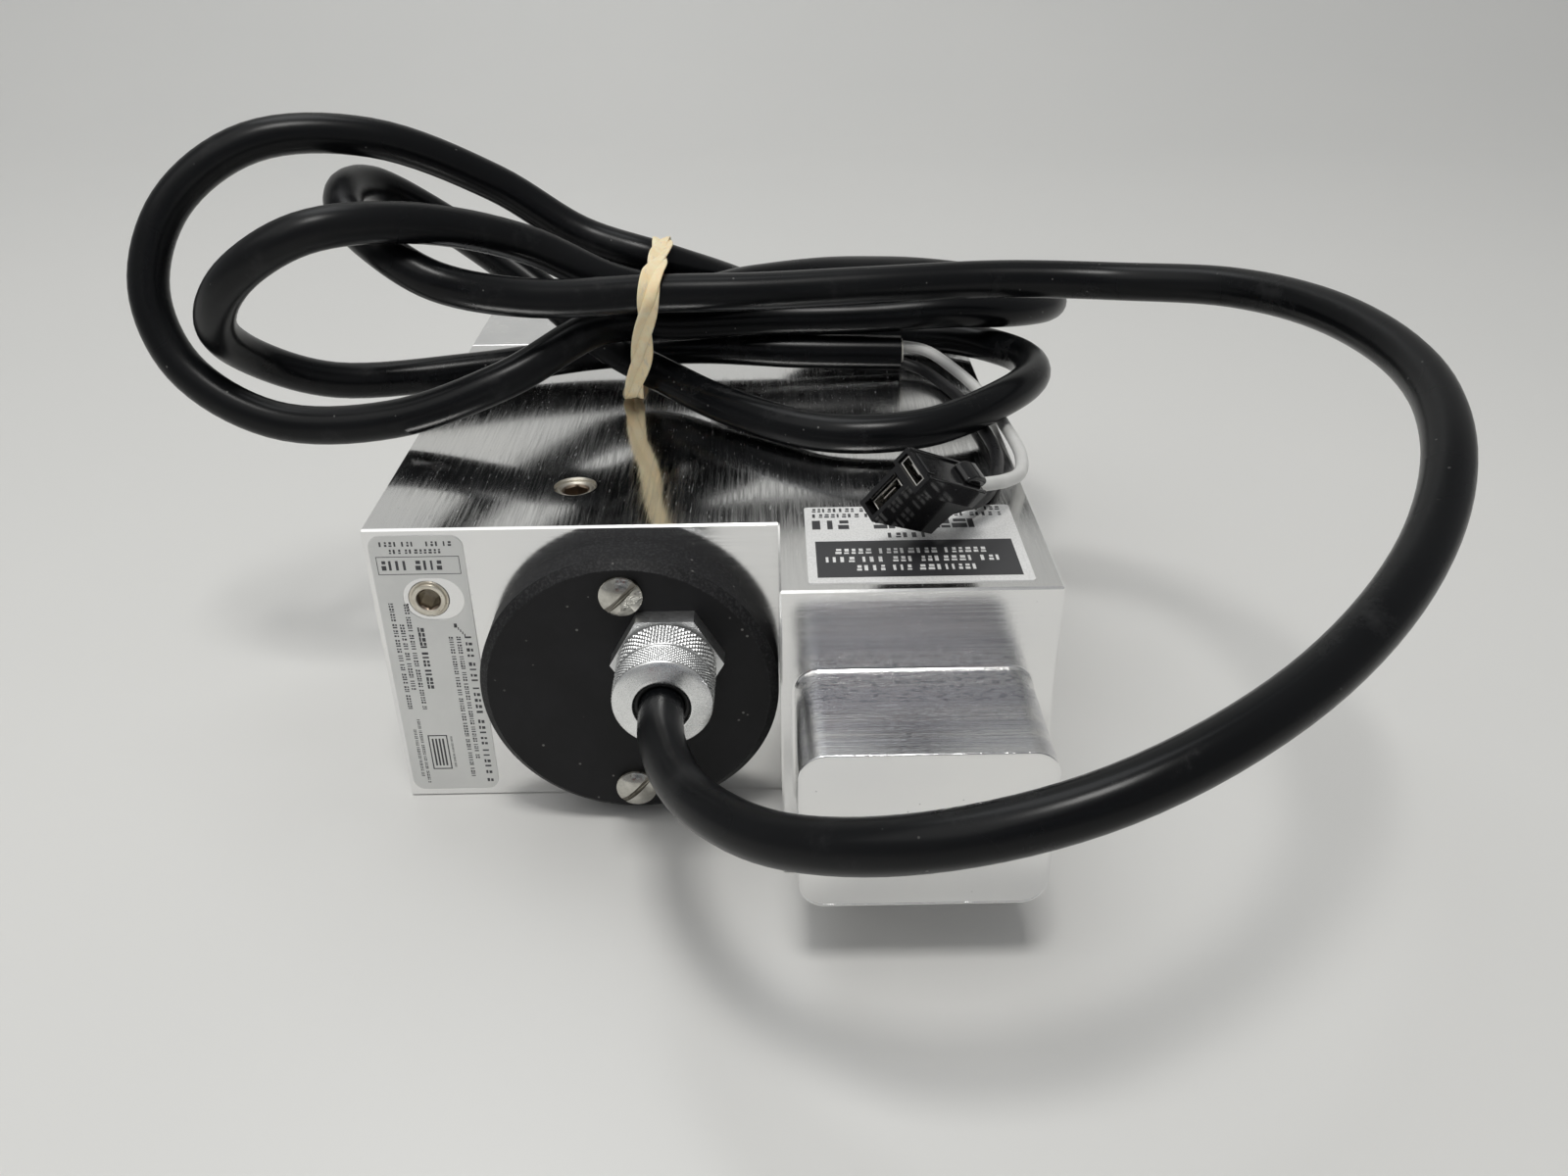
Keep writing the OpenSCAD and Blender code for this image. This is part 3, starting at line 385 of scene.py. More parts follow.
MATS = {
    "billet": polished_billet(),
    "block": metal("block", (0.86, 0.865, 0.875), (0.92, 0.92, 0.92), (0.1, 0.22), (1, 6, 1), 300.0, 0.05),
    "cap_black": cap_black(),
    "grip_alu": metal("grip_alu", (0.72, 0.725, 0.725), (0.56, 0.565, 0.565), (0.27, 0.4), (1, 3, 1), 900.0,
                      0.2, 0.4),
    "screw_steel": screw_steel(),
    "dark_steel": metal("dark_steel", (0.1, 0.1, 0.105), (0.06, 0.06, 0.062), (0.3, 0.45), scale=1500.0,
                        bump=0.2),
    "plug_metal": plug_metal(),
    "rubber_black": plastic("rubber_black", (0.012, 0.012, 0.012), (0.02, 0.02, 0.02), (0.55, 0.7), 1400.0,
                            0.2),
    "label_silver": label_silver(),
    "label_white": label_white(),
    "motor_steel": metal("motor_steel", (0.42, 0.43, 0.45), (0.35, 0.36, 0.38), (0.3, 0.45)),
    "magnet": metal("magnet", (0.1, 0.1, 0.11), (0.07, 0.07, 0.075), (0.5, 0.7)),
    "board": plastic("board", (0.28, 0.16, 0.08), (0.34, 0.2, 0.1), (0.4, 0.55), 500.0, 0.15),
    "carbon": plastic("carbon", (0.02, 0.02, 0.02), (0.03, 0.03, 0.03), (0.5, 0.7), 1800.0, 0.2),
    "bronze": metal("bronze", (0.62, 0.42, 0.2), (0.5, 0.34, 0.17), (0.3, 0.45)),
    "copper": metal("copper", (0.8, 0.42, 0.25), (0.65, 0.32, 0.18), (0.2, 0.35)),
    "lamination": metal("lamination", (0.35, 0.35, 0.37), (0.28, 0.28, 0.3), (0.3, 0.5), (1, 40, 1), 200.0,
                        0.3),
    "gear_steel": metal("gear_steel", (0.6, 0.6, 0.62), (0.5, 0.5, 0.52), (0.15, 0.3)),
    "spring_steel": metal("spring_steel", (0.6, 0.6, 0.62), (0.5, 0.5, 0.52), (0.2, 0.35)),
    "hard_chrome": metal("hard_chrome", (0.88, 0.885, 0.89), (0.84, 0.845, 0.85), (0.04, 0.1), (1, 8, 1),
                         900.0, 0.03),
    "cable_jacket": jacket(),
    "wire_white": plastic("wire_white", (0.74, 0.74, 0.72), (0.66, 0.66, 0.64), (0.3, 0.42), 900.0, 0.06),
    "wire_black": plastic("wire_black", (0.012, 0.012, 0.013), (0.02, 0.02, 0.021), (0.28, 0.4), 900.0, 0.06),
    "connector": plastic("connector", (0.009, 0.009, 0.0095), (0.015, 0.015, 0.016), (0.07, 0.14), 1500.0,
                         0.04, 0.3),
    "terminal": metal("terminal", (0.86, 0.84, 0.8), (0.7, 0.67, 0.6), (0.15, 0.3)),
    "band": band_rubber(),
}
INK_DARK = ink("ink_dark", (0.035, 0.035, 0.038))
INK_GREY = ink("ink_grey", (0.045, 0.045, 0.05))
INK_WHITE = ink("ink_white", (0.72, 0.72, 0.71))

for sub in frame["record"]["subparts"]:
    mesh = nodes[sub["node"]].data
    mesh.materials.clear()
    mesh.materials.append(MATS[sub["material_slot"]])


# ---------------------------------------------------------------- building new pieces
def piece(obj, slot, replaces=(), mat=None):
    """Puts a new object on the housing, with the material of its slot or the one given, and hides the CAD
    nodes it stands for.
    """
    obj.data.materials.clear()
    obj.data.materials.append(mat or MATS[slot])
    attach(obj, "housing")
    if replaces:
        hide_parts(*replaces)
    return obj


def mesh_obj(name, verts, faces, smooth=False):
    me = bpy.data.meshes.new(name)
    me.from_pydata([tuple(v) for v in verts], [], faces)
    me.validate()
    if smooth:
        me.polygons.foreach_set("use_smooth", [True] * len(me.polygons))
    me.update()
    return link(bpy.data.objects.new(name, me))


def ring_faces(rings, count):
    """Faces of a surface closed both ways, from rings that hold the same count of points."""
    faces = []
    for i in range(rings):
        j = (i + 1) % rings
        for k in range(count):
            m = (k + 1) % count
            faces.append((i * count + k, i * count + m, j * count + m, j * count + k))
    return faces


def edge(obj, width, segments=1, angle=None, harden=False):
    """A bevel; without an angle in degrees it keeps Blender's own limit."""
    b = obj.modifiers.new("edge", "BEVEL")
    b.width = width
    b.segments = segments
    b.harden_normals = harden
    if angle is not None:
        b.limit_method = "ANGLE"
        b.angle_limit = math.radians(angle)


# ---------------------------------------------------------------- cords
def spline(points, steps):
    """A centripetal curve through the points."""
    q = [Vector(p) for p in points]
    q = [2 * q[0] - q[1]] + q + [2 * q[-1] - q[-2]]
    out = []
    for i in range(1, len(q) - 2):
        p0, p1, p2, p3 = q[i - 1:i + 3]
        d1, d2, d3 = ((b - a).length ** 0.5 for a, b in ((p0, p1), (p1, p2), (p2, p3)))
        m1 = ((p1 - p0) / d1 - (p2 - p0) / (d1 + d2) + (p2 - p1) / d2) * d2
        m2 = ((p2 - p1) / d2 - (p3 - p1) / (d2 + d3) + (p3 - p2) / d3) * d2
        for k in range(steps):
            t = k / steps
            out.append((2 * t**3 - 3 * t * t + 1) * p1 + (t**3 - 2 * t * t + t) * m1
                       + (3 * t * t - 2 * t**3) * p2 + (t**3 - t * t) * m2)
    return out + [q[-2]]


def cord_curve(name, route_mm, diameter):
    """A round cord along a route, and the length of its middle line."""
    pts = spline([P(*p) for p in route_mm], 8)
    cu = bpy.data.curves.new(name, "CURVE")
    cu.dimensions = "3D"
    cu.bevel_depth = diameter / 2
    cu.bevel_resolution = 8
    cu.use_fill_caps = True
    sp = cu.splines.new("POLY")
    sp.points.add(len(pts) - 1)
    for q, p in zip(sp.points, pts):
        q.co = (*p, 1.0)
    length = sum((b - a).length for a, b in zip(pts, pts[1:]))
    return link(bpy.data.objects.new(name, cu)), length


# Routes in mm, the same as in part.scad. CABLE began as a fit to the photograph, worked out by another
# program and rounded, and was then edited. WHITE and BLACK were listed one by one.
CABLE = [
    (69, -15, 49.1), (69, -31, 49.1), (70, -46, 50), (77, -67, 53), (93, -88, 60),
    (117, -101, 70), (147, -101, 79), (180, -86, 88), (206, -63, 98), (222, -36, 107),
    (229, -5, 112), (224, 27, 114), (210, 56, 112), (186, 73, 109), (155, 77, 109),
    (120, 73, 109), (90, 69, 109), (62, 65, 110), (34, 56, 112), (12, 51, 118),
    (-4, 58, 126), (-12, 67, 131), (-15, 80, 134), (-12, 94, 132), (0, 103, 122), (25, 98, 105),
    (47, 86, 90), (65, 74, 84), (84, 55, 82), (108, 38, 82), (132, 38, 83),
    (153, 52, 85), (165, 73, 84), (164, 95, 82), (149, 109, 82), (127, 115, 82),
    (105, 116, 86), (86, 107, 99), (65, 92, 111), (42, 95, 118), (20, 95, 132),
    (-8, 84, 146), (-35, 74, 147), (-55, 67, 134), (-62, 59, 115), (-55, 52, 97),
    (-34, 48, 84), (-4, 49, 83), (25, 55, 91), (48, 72, 99), (68, 87, 95),
    (92, 96, 93), (120, 97, 93), (144, 98, 94), (163, 104, 92), (176, 117, 89),
    (181, 134, 86), (173, 150, 85), (157, 155, 87), (141, 147, 91), (125, 131, 96),
    (108, 112, 101), (89, 94, 104), (72, 81, 105), (53, 75, 110), (31, 70, 122), (7, 52, 132),
    (-14, 39, 133), (-32, 39, 123), (-43, 49, 108), (-41, 65, 94), (-26, 76, 84),
    (10, 88, 82), (43, 98, 83), (72, 99, 84), (101, 97, 83), (131, 97, 82),
]
WHITE = [(129, 98, 84), (138, 96, 83), (146, 87, 80), (152, 71, 78), (154, 52, 78),
         (155, 33, 78), (152, 17, 80), (146, 4, 84), (140, -4, 87), (136, -7, 88), (134, -9, 89)]
BLACK = [(129, 96, 80), (136, 92, 79), (142, 81, 78), (146, 66, 78), (148, 50, 78),
         (149, 32, 78), (146, 17, 78), (141, 5, 79), (135, -2, 81), (131, -6, 82), (129, -8, 83)]

cable, _ = cord_curve("cable", CABLE, CABLE_D)
piece(cable, "cable_jacket", replaces=("power_cable",))
white, white_len = cord_curve("wire_white", WHITE, WIRE_D)
piece(white, "wire_white", replaces=("white_wire",))
black, black_len = cord_curve("wire_black", BLACK, WIRE_D)
piece(black, "wire_black", replaces=("black_wire",))


def revolve(name, stations, x, z, n=96, knurl=None):
    """Closed surface turned about a Y axis at x, z, from (y, r) in mm; knurl(y, angle) adds to r."""
    verts = []
    for y, r in stations:
        for k in range(n):
            a = 2 * math.pi * k / n
            rr = r + (knurl(y, a) if knurl else 0.0)
            verts.append(P(x + rr * math.cos(a), y, z + rr * math.sin(a)))
    return mesh_obj(name, verts, ring_faces(len(stations), n), True)


# filler disc inside the jacket's cut end, made at the drawing's origin and then put in its place
end_disc = revolve("jacket_end_filler", [(0, 0.3), (0, 4.0), (0.5, 4.0), (0.5, 0.3)], 0, 0, 24)
end_disc.matrix_world = (Matrix.Translation(P(131.1, 97, 82)) @ Matrix.Rotation(math.radians(-90), 4, "Z")
                         @ Matrix.Translation(-P(0, 0, 0)))
piece(end_disc, "wire_white", mat=ink("filler_fibre", (0.55, 0.53, 0.48), 0.7))


# ---------------------------------------------------------------- cord grip
def tri(t):
    """A triangle wave between 0 and 1."""
    return abs((t % 1.0) * 2 - 1)


def diamond(y, a, pitch, count, depth):
    """Height of a diamond knurl: count diamonds round the axis, pitch mm apart along it."""
    u, v = a / (2 * math.pi) * count, y / pitch
    return depth * (min(tri(u + v), tri(u - v)) * 2 - 1)


def nut_knurl(y, a):
    """A coarse band behind the nut's groove and a fine one in front of it."""
    if -24.0 < y < -17.1:
        return diamond(y, a, 1.5, 46, 0.3)
    if -31.0 < y < -25.4:
        return diamond(y, a, 0.95, 72, 0.18)
    return 0.0


def steps_along(y0, y1, step):
    k = max(1, round(abs(y1 - y0) / step))
    return [y0 + (y1 - y0) * i / k for i in range(k + 1)]


# the nut's section as (y, radius): collar, coarse band, groove, fine band, nose, and back through the mouth
stations = [(-16.6, 8.6), (-16.6, 10.5), (-16.9, 10.95)]
stations += [(y, 11.0) for y in steps_along(-17.0, -24.1, 0.115)]
stations += [(-24.3, 10.9), (-24.45, 10.5), (-24.6, 10.45), (-24.75, 10.9), (-24.9, 11.1), (-25.2, 11.1)]
stations += [(y, 11.05 - 0.02 * (-25.3 - y)) for y in steps_along(-25.3, -31.1, 0.1)]
stations += [(-31.2, 10.95), (-31.4, 10.8), (-31.6, 10.55), (-32.0, 9.6), (-32.4, 8.4), (-32.8, 7.2),
             (-33.0, 6.6), (-33.0, 6.4), (-32.9, 6.25), (-32.5, 6.2), (-28.6, 6.2), (-28.6, 8.6)]
nut = revolve("knurled_nut", stations, GRIP_X, GRIP_Z, 576, nut_knurl)
piece(nut, "grip_alu", replaces=("cord_grip_nut",), mat=knurled_aluminium())

# ribbed rubber sleeve round the cable in the grip's mouth
BACK, FRONT, LAST_RIB, RIB_PITCH = -24.3, -32.3, -28.4, 0.62
ribs = [(BACK, 6.1), (FRONT, 6.1)]
y = FRONT
while y < LAST_RIB:
    ribs += [(y, 5.35), (y + 0.2, 4.98), (y + 0.4, 5.35)]
    y += RIB_PITCH
ribs += [(BACK, 4.95)]
sleeve = revolve("grip_sleeve", ribs, GRIP_X, GRIP_Z, 72)
piece(sleeve, "rubber_black", replaces=("cord_grip_grommet",))


# ---------------------------------------------------------------- socket plugs and valve springs
def plug(name, node, head_top, outward, profile):
    """A turned plug from (depth, radius, is_hex) in mm, depth measured inwards from the top of its head."""
    side = Vector((1, 0, 0))
    other = outward.cross(side)
    count = 96
    verts = []
    for d, r, is_hex in profile:
        for k in range(count):
            a = 2 * math.pi * k / count
            rr = r / math.cos((a + math.pi / 6) % (math.pi / 3) - math.pi / 6) if is_hex else r
            across = side * (rr * math.cos(a)) + other * (rr * math.sin(a))
            verts.append(P(*(Vector(head_top) - outward * d + across)))
    obj = mesh_obj(name, verts, ring_faces(len(profile), count))
    edge(obj, 0.00005, angle=35)
    return piece(obj, "plug_metal", replaces=(node,))


plug("filler_socket_plug", "filler_plug", FILLER_TOP, Vector((0, -1, 0)),
     [(5.5, 0.02, 0), (5.5, 2.35, 1), (0.6, 2.35, 1), (0.2, 2.75, 0), (0.03, 2.95, 0), (0, 3.1, 0),
      (0, 3.75, 0), (0.08, 3.95, 0), (0.3, 4.02, 0), (0.5, 4.1, 0), (0.4, 4.5, 0), (0.5, 4.65, 0),
      (0.8, 4.7, 0), (1.9, 4.7, 0), (1.9, 4.05, 0), (11.4, 4.05, 0), (11.4, 0.02, 0)])
plug("vent_socket_plug", "vent_plug", VENT_TOP, Vector((0, 0, 1)),
     [(4.2, 0.02, 0), (4.2, 2.8, 1), (0.9, 2.8, 1), (0.45, 3.3, 0), (0.08, 3.6, 0), (0, 3.8, 0),
      (0.06, 4.2, 0), (0.35, 4.55, 0), (0.8, 4.7, 0), (0.85, 4.75, 0), (0.6, 4.9, 0), (0.65, 5.0, 0),
      (0.8, 5.1, 0), (2.5, 5.1, 0), (2.5, 4.15, 0), (5.8, 4.15, 0), (5.8, 0.02, 0)])

for way in ("extend", "retract"):
    node = "relief_spring_" + way
    coil = link(bpy.data.objects.new("relief_coil_" + way, nodes[node].data.copy()))
    piece(coil, "spring_steel", replaces=(node,))
    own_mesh(coil)

# ---------------------------------------------------------------- connector details
TURN = (Matrix.Rotation(math.radians(43), 4, "Z") @ Matrix.Rotation(math.radians(27), 4, "Y")
        @ Matrix.Rotation(math.radians(-60), 4, "X"))
CONN = Matrix.Translation(P(114, -21, 86.8)) @ TURN


def prism(name, outline, lo, hi, bevel, slot="connector", segments=3):
    """A prism on the connector: an outline (x, y) in mm pushed along Z from lo to hi, with rounded edges."""
    n = len(outline)
    pts = [CONN @ (Vector((x, y, z)) * MM) for z in (lo, hi) for x, y in outline]
    faces = [tuple(range(n - 1, -1, -1)), tuple(range(n, 2 * n))]
    faces += [(i, (i + 1) % n, n + (i + 1) % n, n + i) for i in range(n)]
    obj = mesh_obj(name, pts, faces)
    bm = bmesh.new()
    bm.from_mesh(obj.data)
    bmesh.ops.recalc_face_normals(bm, faces=bm.faces)
    bm.to_mesh(obj.data)
    bm.free()
    edge(obj, bevel * MM, segments, harden=True)
    obj.data.polygons.foreach_set("use_smooth", [True] * len(obj.data.polygons))
    return piece(obj, slot)


def rect(a, b, c, d):
    return [(a, c), (b, c), (b, d), (a, d)]


def receptacle(name, y0, y1, z0, z1, x0, x1, t):
    """An open metal box, as a crimp terminal shows in its cavity."""
    verts, faces = [], []
    for x in (x0, x1):
        for d in (0.0, t):
            verts += [CONN @ (Vector((x, yy, zz)) * MM) for yy, zz in
                      ((y0 + d, z0 + d), (y1 - d, z0 + d), (y1 - d, z1 - d), (y0 + d, z1 - d))]
    for i in range(4):
        j = (i + 1) % 4
        faces += [(i, j, 8 + j, 8 + i), (4 + j, 4 + i, 12 + i, 12 + j), (i, 4 + i, 4 + j, j),
                  (8 + j, 12 + j, 12 + i, 8 + i)]
    obj = mesh_obj(name, verts, faces)
    edge(obj, 0.00006, 2)
    return piece(obj, "terminal")


THUMB_PAD = [(15.2, -15.7), (22.0, -15.7), (22.0, -17.6), (20.8, -18.1), (17.2, -18.1), (15.6, -17.2)]
conn_parts = [
    prism("panel_rail_a", rect(0.6, 21.8, -16.25, -15.6), -2.2, -1.5, 0.18),
    prism("panel_rail_b", rect(0.6, 21.8, -16.25, -15.6), 5.7, 6.4, 0.18),
    prism("latch_step", rect(1.2, 3.4, -16.3, -15.6), -0.6, 4.8, 0.25),
    prism("thumb_pad", THUMB_PAD, -0.6, 4.8, 0.7, segments=5),
    prism("side_rib_a", rect(3.0, 21.8, -9.4, -8.6), 5.4, 6.0, 0.12),
    prism("side_rib_b", rect(3.0, 21.8, -3.0, -2.2), 5.4, 6.0, 0.12),
    prism("rear_collar_low", rect(20.6, 23.2, -8.4, -3.0), 0.3, 5.2, 0.5),
    prism("rear_collar_up", rect(20.6, 23.2, -15.4, -11.6), 0.0, 5.0, 0.5),
    receptacle("terminal_box_up", -14.85, -12.4, -1.2, 5.3, 0.5, 12.0, 0.28),
    receptacle("terminal_box_low", -9.6, -2.0, 1.1, 4.2, 1.4, 12.0, 0.28),
    prism("terminal_tongue_up", rect(1.2, 11.0, -14.3, -13.95), 0.6, 3.6, 0.08, "terminal"),
    prism("terminal_tongue_low", rect(2.4, 11.0, -7.6, -4.0), 3.2, 3.5, 0.08, "terminal"),
]
edge(nodes["connector_housing"], 0.0003, 3, 40, True)

# ---------------------------------------------------------------- rubber band, three twisted laps
# (y, z) in mm of the cable strands that the band holds, where it passes them
STRANDS = [(65, 110), (92, 111), (78.5, 107), (83.5, 96), (98.5, 84), (75, 84.5)]
LOOP_POINTS = 360


def taut_loop(radius):
    """Even points (y, z) of a taut loop round the strands."""
    n = LOOP_POINTS
    raw = []
    for k in range(n):
        a = 2 * math.pi * k / n
        d = (math.cos(a), math.sin(a))
        c = max(STRANDS, key=lambda s: s[0] * d[0] + s[1] * d[1])
        raw.append(Vector((c[0] + radius * d[0], c[1] + radius * d[1])))
    seg = [(raw[(i + 1) % n] - raw[i]).length for i in range(n)]
    total, out, i, run = sum(seg), [], 0, 0.0
    for k in range(n):
        want = total * k / n
        while run + seg[i] < want:
            run += seg[i]
            i += 1
        out.append(raw[i].lerp(raw[(i + 1) % n], (want - run) / seg[i]))
    return out


# the band's middle is at MIDDLE_X where z is MIDDLE_Z, and moves LEAN along x for each step up in z
MIDDLE_X, MIDDLE_Z, LEAN = 59.9, 97.5, 0.24


def band_strand(name, phase, half_w, half_t, seed):
    """One lap of the band: a flat ribbon that weaves over and under the other laps."""
    loop = taut_loop(5.65)               # the cable's radius, and room for the band to weave outside it
    n = len(loop)
    verts = []
    rng = random.Random(seed)
    wob = [rng.uniform(0, 1) for _ in range(6)]
    ring = 20
    for i, q in enumerate(loop):
        t = i / n
        tangent = (loop[(i + 1) % n] - loop[i - 1]).normalized()
        out = Vector((tangent.y, -tangent.x))
        a = 2 * math.pi * 3 * t + phase
        cx = (MIDDLE_X + LEAN * (q.y - MIDDLE_Z) + 1.3 * math.cos(a)
              + 0.3 * math.sin(2 * math.pi * (3 * t + wob[0])))
        cr = 0.38 * math.sin(a)
        tilt = 0.45 * math.cos(a) + 0.12 * math.sin(2 * math.pi * (5 * t + wob[1]))
        centre = Vector((cx, q.x + out.x * cr, q.y + out.y * cr))
        outward = Vector((0, out.x, out.y))
        across = Vector((math.cos(tilt), 0, 0)) + outward * math.sin(tilt)
        thick = outward * math.cos(tilt) - Vector((math.sin(tilt), 0, 0))
        w = half_w * (1 + 0.16 * math.cos(2 * a + wob[2]) + 0.06 * math.sin(2 * math.pi * (7 * t + wob[3])))
        for k in range(ring):
            b = 2 * math.pi * k / ring
            u = math.cos(b)
            ridge = 0.09 * math.sin(9.0 * u + 6 * t * math.pi + wob[4]) * (1 - u * u)
            bulge = math.copysign(abs(math.sin(b)) ** 0.7, math.sin(b)) * half_t
            verts.append(P(*(centre + across * (w * u) + thick * (bulge + ridge))))
    return piece(mesh_obj(name, verts, ring_faces(n, ring), True), "band")


third = 2 * math.pi / 3
first_lap = band_strand("band_a", 0.4, 1.75, 0.42, 3)
band_strand("band_b", 0.4 + third, 1.6, 0.42, 4)
band_strand("band_c", 0.4 + 2 * third, 1.75, 0.42, 5)
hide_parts("rubber_band")


# ---------------------------------------------------------------- labels' print: plain bars, no lettering
class Print:
    """Flat bars laid on a label: u and v are directions on it, and lift is along its normal."""

    def __init__(self, name, origin, u, v, normal, mat, slot):
        self.o, self.u, self.v, self.nrm = Vector(origin), Vector(u), Vector(v), Vector(normal)
        self.name, self.mat, self.slot, self.verts, self.faces = name, mat, slot, [], []

    def quad(self, u0, u1, v0, v1, lift=0.02):
        k = len(self.verts)
        for h in (0.0, lift):
            for a, b in ((u0, v0), (u1, v0), (u1, v1), (u0, v1)):
                self.verts.append(P(*(self.o + self.u * a + self.v * b + self.nrm * h)))
        self.faces += [(k, k + 3, k + 2, k + 1), (k + 4, k + 5, k + 6, k + 7)]
        self.faces += [(k + i, k + (i + 1) % 4, k + 4 + (i + 1) % 4, k + 4 + i) for i in range(4)]

    def row(self, u0, u1, v, h, seed, gap=0.24, wide=0.5, weight=1.0):
        """A row of plain dashes in word-like groups, from u0 to u1: no letter is formed."""
        rng = random.Random(seed)
        u, left = u0, rng.randint(3, 8)
        while True:
            w = h * wide * rng.uniform(0.7, 1.2)
            if u + w > u1:
                break
            if rng.random() < 0.55:
                cut = rng.uniform(0.35, 0.6)
                self.quad(u, u + w * weight, v, v + h * (cut - 0.09))
                self.quad(u + w * weight * 0.15, u + w * weight, v + h * (cut + 0.09), v + h)
            else:
                self.quad(u, u + w * weight * 0.6, v, v + h)
            u += w + h * gap
            left -= 1
            if left == 0:
                u += 0.5 * h
                left = rng.randint(3, 8)

    def frame(self, u0, u1, v0, v1, t):
        self.quad(u0, u1, v0, v0 + t)
        self.quad(u0, u1, v1 - t, v1)
        self.quad(u0, u0 + t, v0 + t, v1 - t)
        self.quad(u1 - t, u1, v0 + t, v1 - t)

    def build(self):
        piece(mesh_obj(self.name, self.verts, self.faces), self.slot, mat=self.mat)


RIGHT, UP, DOWN, BACKWARDS, OUT = (1, 0, 0), (0, 0, 1), (0, 0, -1), (0, 1, 0), (0, -1, 0)

# front label, upright part: two title rows, framed number bar
fp = Print("front_print", (0, FRONT_LABEL_Y, 0), RIGHT, UP, OUT, INK_GREY, "label_silver")
fp.row(3.9, 12.0, 71.95, 1.2, 1, 0.4, 0.6)
fp.row(14.5, 20.4, 71.95, 1.2, 31, 0.4, 0.6)
fp.row(5.9, 18.8, 70.1, 1.1, 2, 0.4, 0.6)
fp.frame(2.6, 21.6, 64.65, 69.35, 0.16)
fp.row(3.6, 20.0, 65.8, 2.45, 3, 0.18, 0.5, 0.85)
# sideways columns, read downwards: u runs down and v to the right
fs = Print("front_print_side", (0, FRONT_LABEL_Y, 0), DOWN, RIGHT, OUT, INK_GREY, "label_silver")
fs.row(-47.7, -3.2, 20.0, 1.5, 4, 0.55, 0.62)
fs.row(-47.7, -11.0, 18.0, 1.0, 5)
fs.row(-47.7, -6.0, 16.2, 1.0, 6)
fs.row(-50.4, -32.8, 9.2, 1.5, 7, 0.2, 0.62, 1.15)
fs.row(-56.7, -26.8, 7.0, 1.05, 8)
fs.row(-51.3, -32.5, 5.2, 1.05, 9)
fs.row(-57.1, -26.1, 3.5, 1.05, 10)
fs.row(-23.9, -4.0, 5.0, 0.7, 11)
fs.row(-20.9, -6.4, 3.7, 0.7, 12)
fs.row(-18.6, -9.0, 12.4, 0.5, 13)
# plain mark: bars in a frame
fs.frame(-19.1, -8.6, 6.9, 11.7, 0.3)
for k in range(4):
    fs.quad(-18.0, -9.7, 7.75 + k * 0.85, 8.2 + k * 0.85)
# pointer towards the filler plug
for k in range(5):
    fs.quad(-50.9 + 0.62 * k, -50.2 + 0.62 * k, 18.3 + 0.42 * k, 18.55 + 0.42 * k)
fs.quad(-51.3, -50.2, 17.9, 18.6)
fp.build()
fs.build()

# top label: dark panel near the front edge with white rows on it, and dark rows behind the panel
tp = Print("top_panel", (0, 0, TOP_LABEL_Z), RIGHT, BACKWARDS, UP, INK_DARK, "label_white")
PANEL_LIFT = 0.015
tp.quad(102.6, 145.6, -25.9, -9.7, PANEL_LIFT)
tp.build()
tw = Print("top_print_white", (0, 0, TOP_LABEL_Z + PANEL_LIFT), RIGHT, BACKWARDS, UP, INK_WHITE,
           "label_white")
tw.row(111.0, 138.6, -23.1, 2.3, 21)
tw.row(104.6, 142.6, -19.3, 2.3, 22)
tw.row(106.8, 140.4, -15.6, 2.3, 23)
tw.build()
tb = Print("top_print_black", (0, 0, TOP_LABEL_Z), RIGHT, BACKWARDS, UP, INK_DARK, "label_white")
tb.row(118.8, 128.6, -8.3, 2.3, 24, 0.22, 0.6)
tb.row(102.2, 113.0, -3.9, 4.3, 25, 0.14, 0.6, 1.1)
tb.row(116.0, 141.8, -3.9, 4.3, 28, 0.14, 0.6, 1.1)
tb.row(102.4, 145.6, 1.9, 1.8, 26)
tb.row(102.4, 145.6, 4.7, 1.8, 27)
tb.build()

# ---------------------------------------------------------------- boss
BOSS_X, BOSS_Z, BOSS_R = (103.1, 143.1), (23.7, 51.3), 5.5       # its corner centres and their radius
BOSS_ROOT, BOSS_FRONT = -31, -61
CORNERS = ((BOSS_X[1], BOSS_Z[1], 0), (BOSS_X[0], BOSS_Z[1], 90), (BOSS_X[0], BOSS_Z[0], 180),
           (BOSS_X[1], BOSS_Z[0], 270))


def boss_ring(name, prof, smooth):
    """A closed profile of (outwards, y) in mm, carried round the boss's outline."""
    outline = []
    for cx, cz, a0 in CORNERS:
        outline += [(cx, cz, math.radians(a0 + 90 * k / 12)) for k in range(13)]
    verts = [P(cx + (BOSS_R + d) * math.cos(a), y, cz + (BOSS_R + d) * math.sin(a))
             for cx, cz, a in outline for d, y in prof]
    obj = mesh_obj(name, verts, ring_faces(len(outline), len(prof)), smooth)
    if not smooth:
        edge(obj, 0.00003, angle=50)
    piece(obj, "billet")


# the small fillet that the cutter leaves round the boss's root, and the burnished edge of its front
FILLET, BEAD = 0.7, 0.31
curve = [(FILLET * (1 - math.cos(math.pi / 12 * k)), BOSS_ROOT - FILLET * (1 - math.sin(math.pi / 12 * k)))
         for k in range(7)]
boss_ring("boss_root_fillet", [(-0.3, -30.7), (-0.3, -31.7)] + curve + [(FILLET, -30.7)], False)
boss_ring("boss_front_edge",
          [(-0.2 + BEAD * math.cos(math.pi / 8 * k), BOSS_FRONT + 0.3 - BEAD * math.sin(math.pi / 8 * k))
           for k in range(16)], True)

# ---------------------------------------------------------------- edges of the machined pieces
for name, width in (("main_housing", 0.25), ("rear_block", 0.2), ("cord_grip_body", 0.25), ("ram_eye", 0.4),
                    ("end_cap_screws", 0.12), ("rear_block_screws", 0.2)):
    edge(nodes[name], width * MM, 2, 38, True)


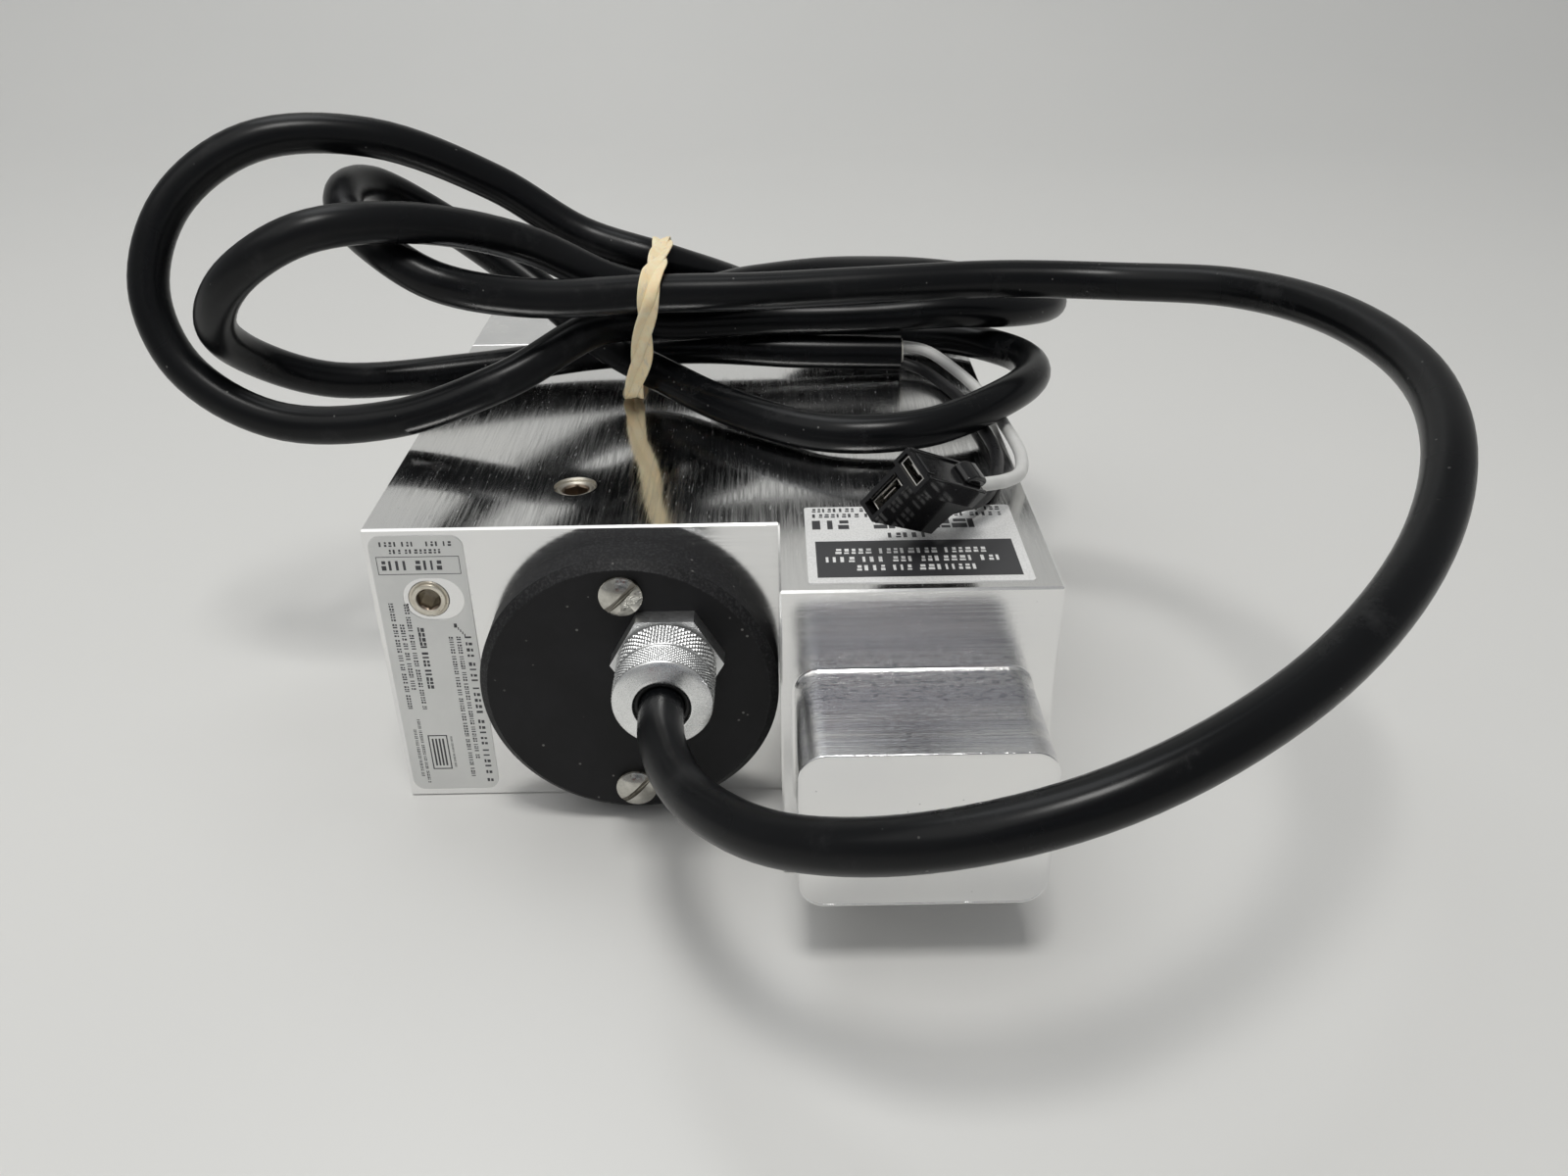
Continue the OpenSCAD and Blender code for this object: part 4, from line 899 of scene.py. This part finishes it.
# ---------------------------------------------------------------- set: sweep, card, lights, world
def sweep():
    """A floor that curves up into a back wall, from a profile of (y, z)."""
    flat, radius, half_width, wall_top = 0.75, 0.6, 2.6, 2.6
    prof = [(-2.2, 0.0), (flat, 0.0)]
    for k in range(1, 17):
        a = math.pi / 2 * k / 16
        prof.append((flat + radius * math.sin(a), radius * (1 - math.cos(a))))
    prof.append((flat + radius, wall_top))
    verts = [(x, y, z) for y, z in prof for x in (-half_width, half_width)]
    faces = [(2 * i, 2 * i + 1, 2 * i + 3, 2 * i + 2) for i in range(len(prof) - 1)]
    return mesh_obj("sweep", verts, faces, True)


floor = sweep()
fm = Mat("sweep_paper")
soft = fm.noise(fm.coord(), 3.0, 3.0, 0.5)
fine = fm.noise(fm.coord(), 420.0, 3.0, 0.6)
floor.data.materials.append(fm.done(
    color=fm.mix(fm.ramp(soft, 0.3, 0.7), rgb(0.77, 0.765, 0.745), rgb(0.755, 0.752, 0.733)),
    rough=fm.ramp(soft, 0.3, 0.7, 0.28, 0.32), spec=0.4, normal=fm.bump(fine, 0.02, 0.0002)))

# card near the camera's place, seen only in the metal: dark and pale bands and a little dull red
card = mesh_obj("viewer_card",
                [(-0.22, -0.78, 0.12), (0.26, -0.78, 0.12), (0.3, -0.8, 0.85), (-0.26, -0.8, 0.85)],
                [(0, 1, 2, 3)])
cm = Mat("viewer_cloth")
bands_n = cm.noise(cm.coord((1.6, 1, 14)), 1.7, 3.0, 0.5)
patches = cm.noise(cm.coord((5, 1, 5)), 2.2, 3.0, 0.55)
cloth = cm.mix(cm.ramp(bands_n, 0.47, 0.52), rgb(0.012, 0.018, 0.03), rgb(0.56, 0.60, 0.66))
cloth = cm.mix(cm.ramp(patches, 0.58, 0.62), cloth, rgb(0.24, 0.07, 0.06))
card.data.materials.append(cm.done(color=cloth, rough=0.9))
card.visible_camera = False
card.visible_shadow = False


def area(name, loc, target, size, power, color):
    """A rectangular lamp at loc, aimed at target."""
    d = bpy.data.lights.new(name, "AREA")
    d.shape = "RECTANGLE"
    d.size, d.size_y = size
    d.energy = power
    d.color = color
    o = link(bpy.data.objects.new(name, d))
    o.location = loc
    o.rotation_euler = (Vector(target) - Vector(loc)).to_track_quat("-Z", "Y").to_euler()


area("key", (0.0, -0.43, 1.3), (0.03, -0.1, 0.0), (0.3, 0.3), 5.9, (1.0, 0.99, 0.965))
area("soft", (-0.6, -0.55, 1.35), (-0.1, -0.1, 0.0), (1.5, 1.2), 4.8, (1.0, 0.995, 0.975))
area("back", (-0.35, 0.75, 1.9), (-0.05, 1.0, 0.2), (1.2, 0.8), 7.0, (0.97, 0.99, 1.0))

world = bpy.data.worlds.new("studio")
world.use_nodes = True
wt = world.node_tree
wt.nodes.clear()
wout = wt.nodes.new("ShaderNodeOutputWorld")
wbg = wt.nodes.new("ShaderNodeBackground")
wbg.inputs[0].default_value = (0.96, 0.97, 0.98, 1.0)
wbg.inputs[1].default_value = 0.31
wt.links.new(wbg.outputs[0], wout.inputs[0])
bpy.context.scene.world = world
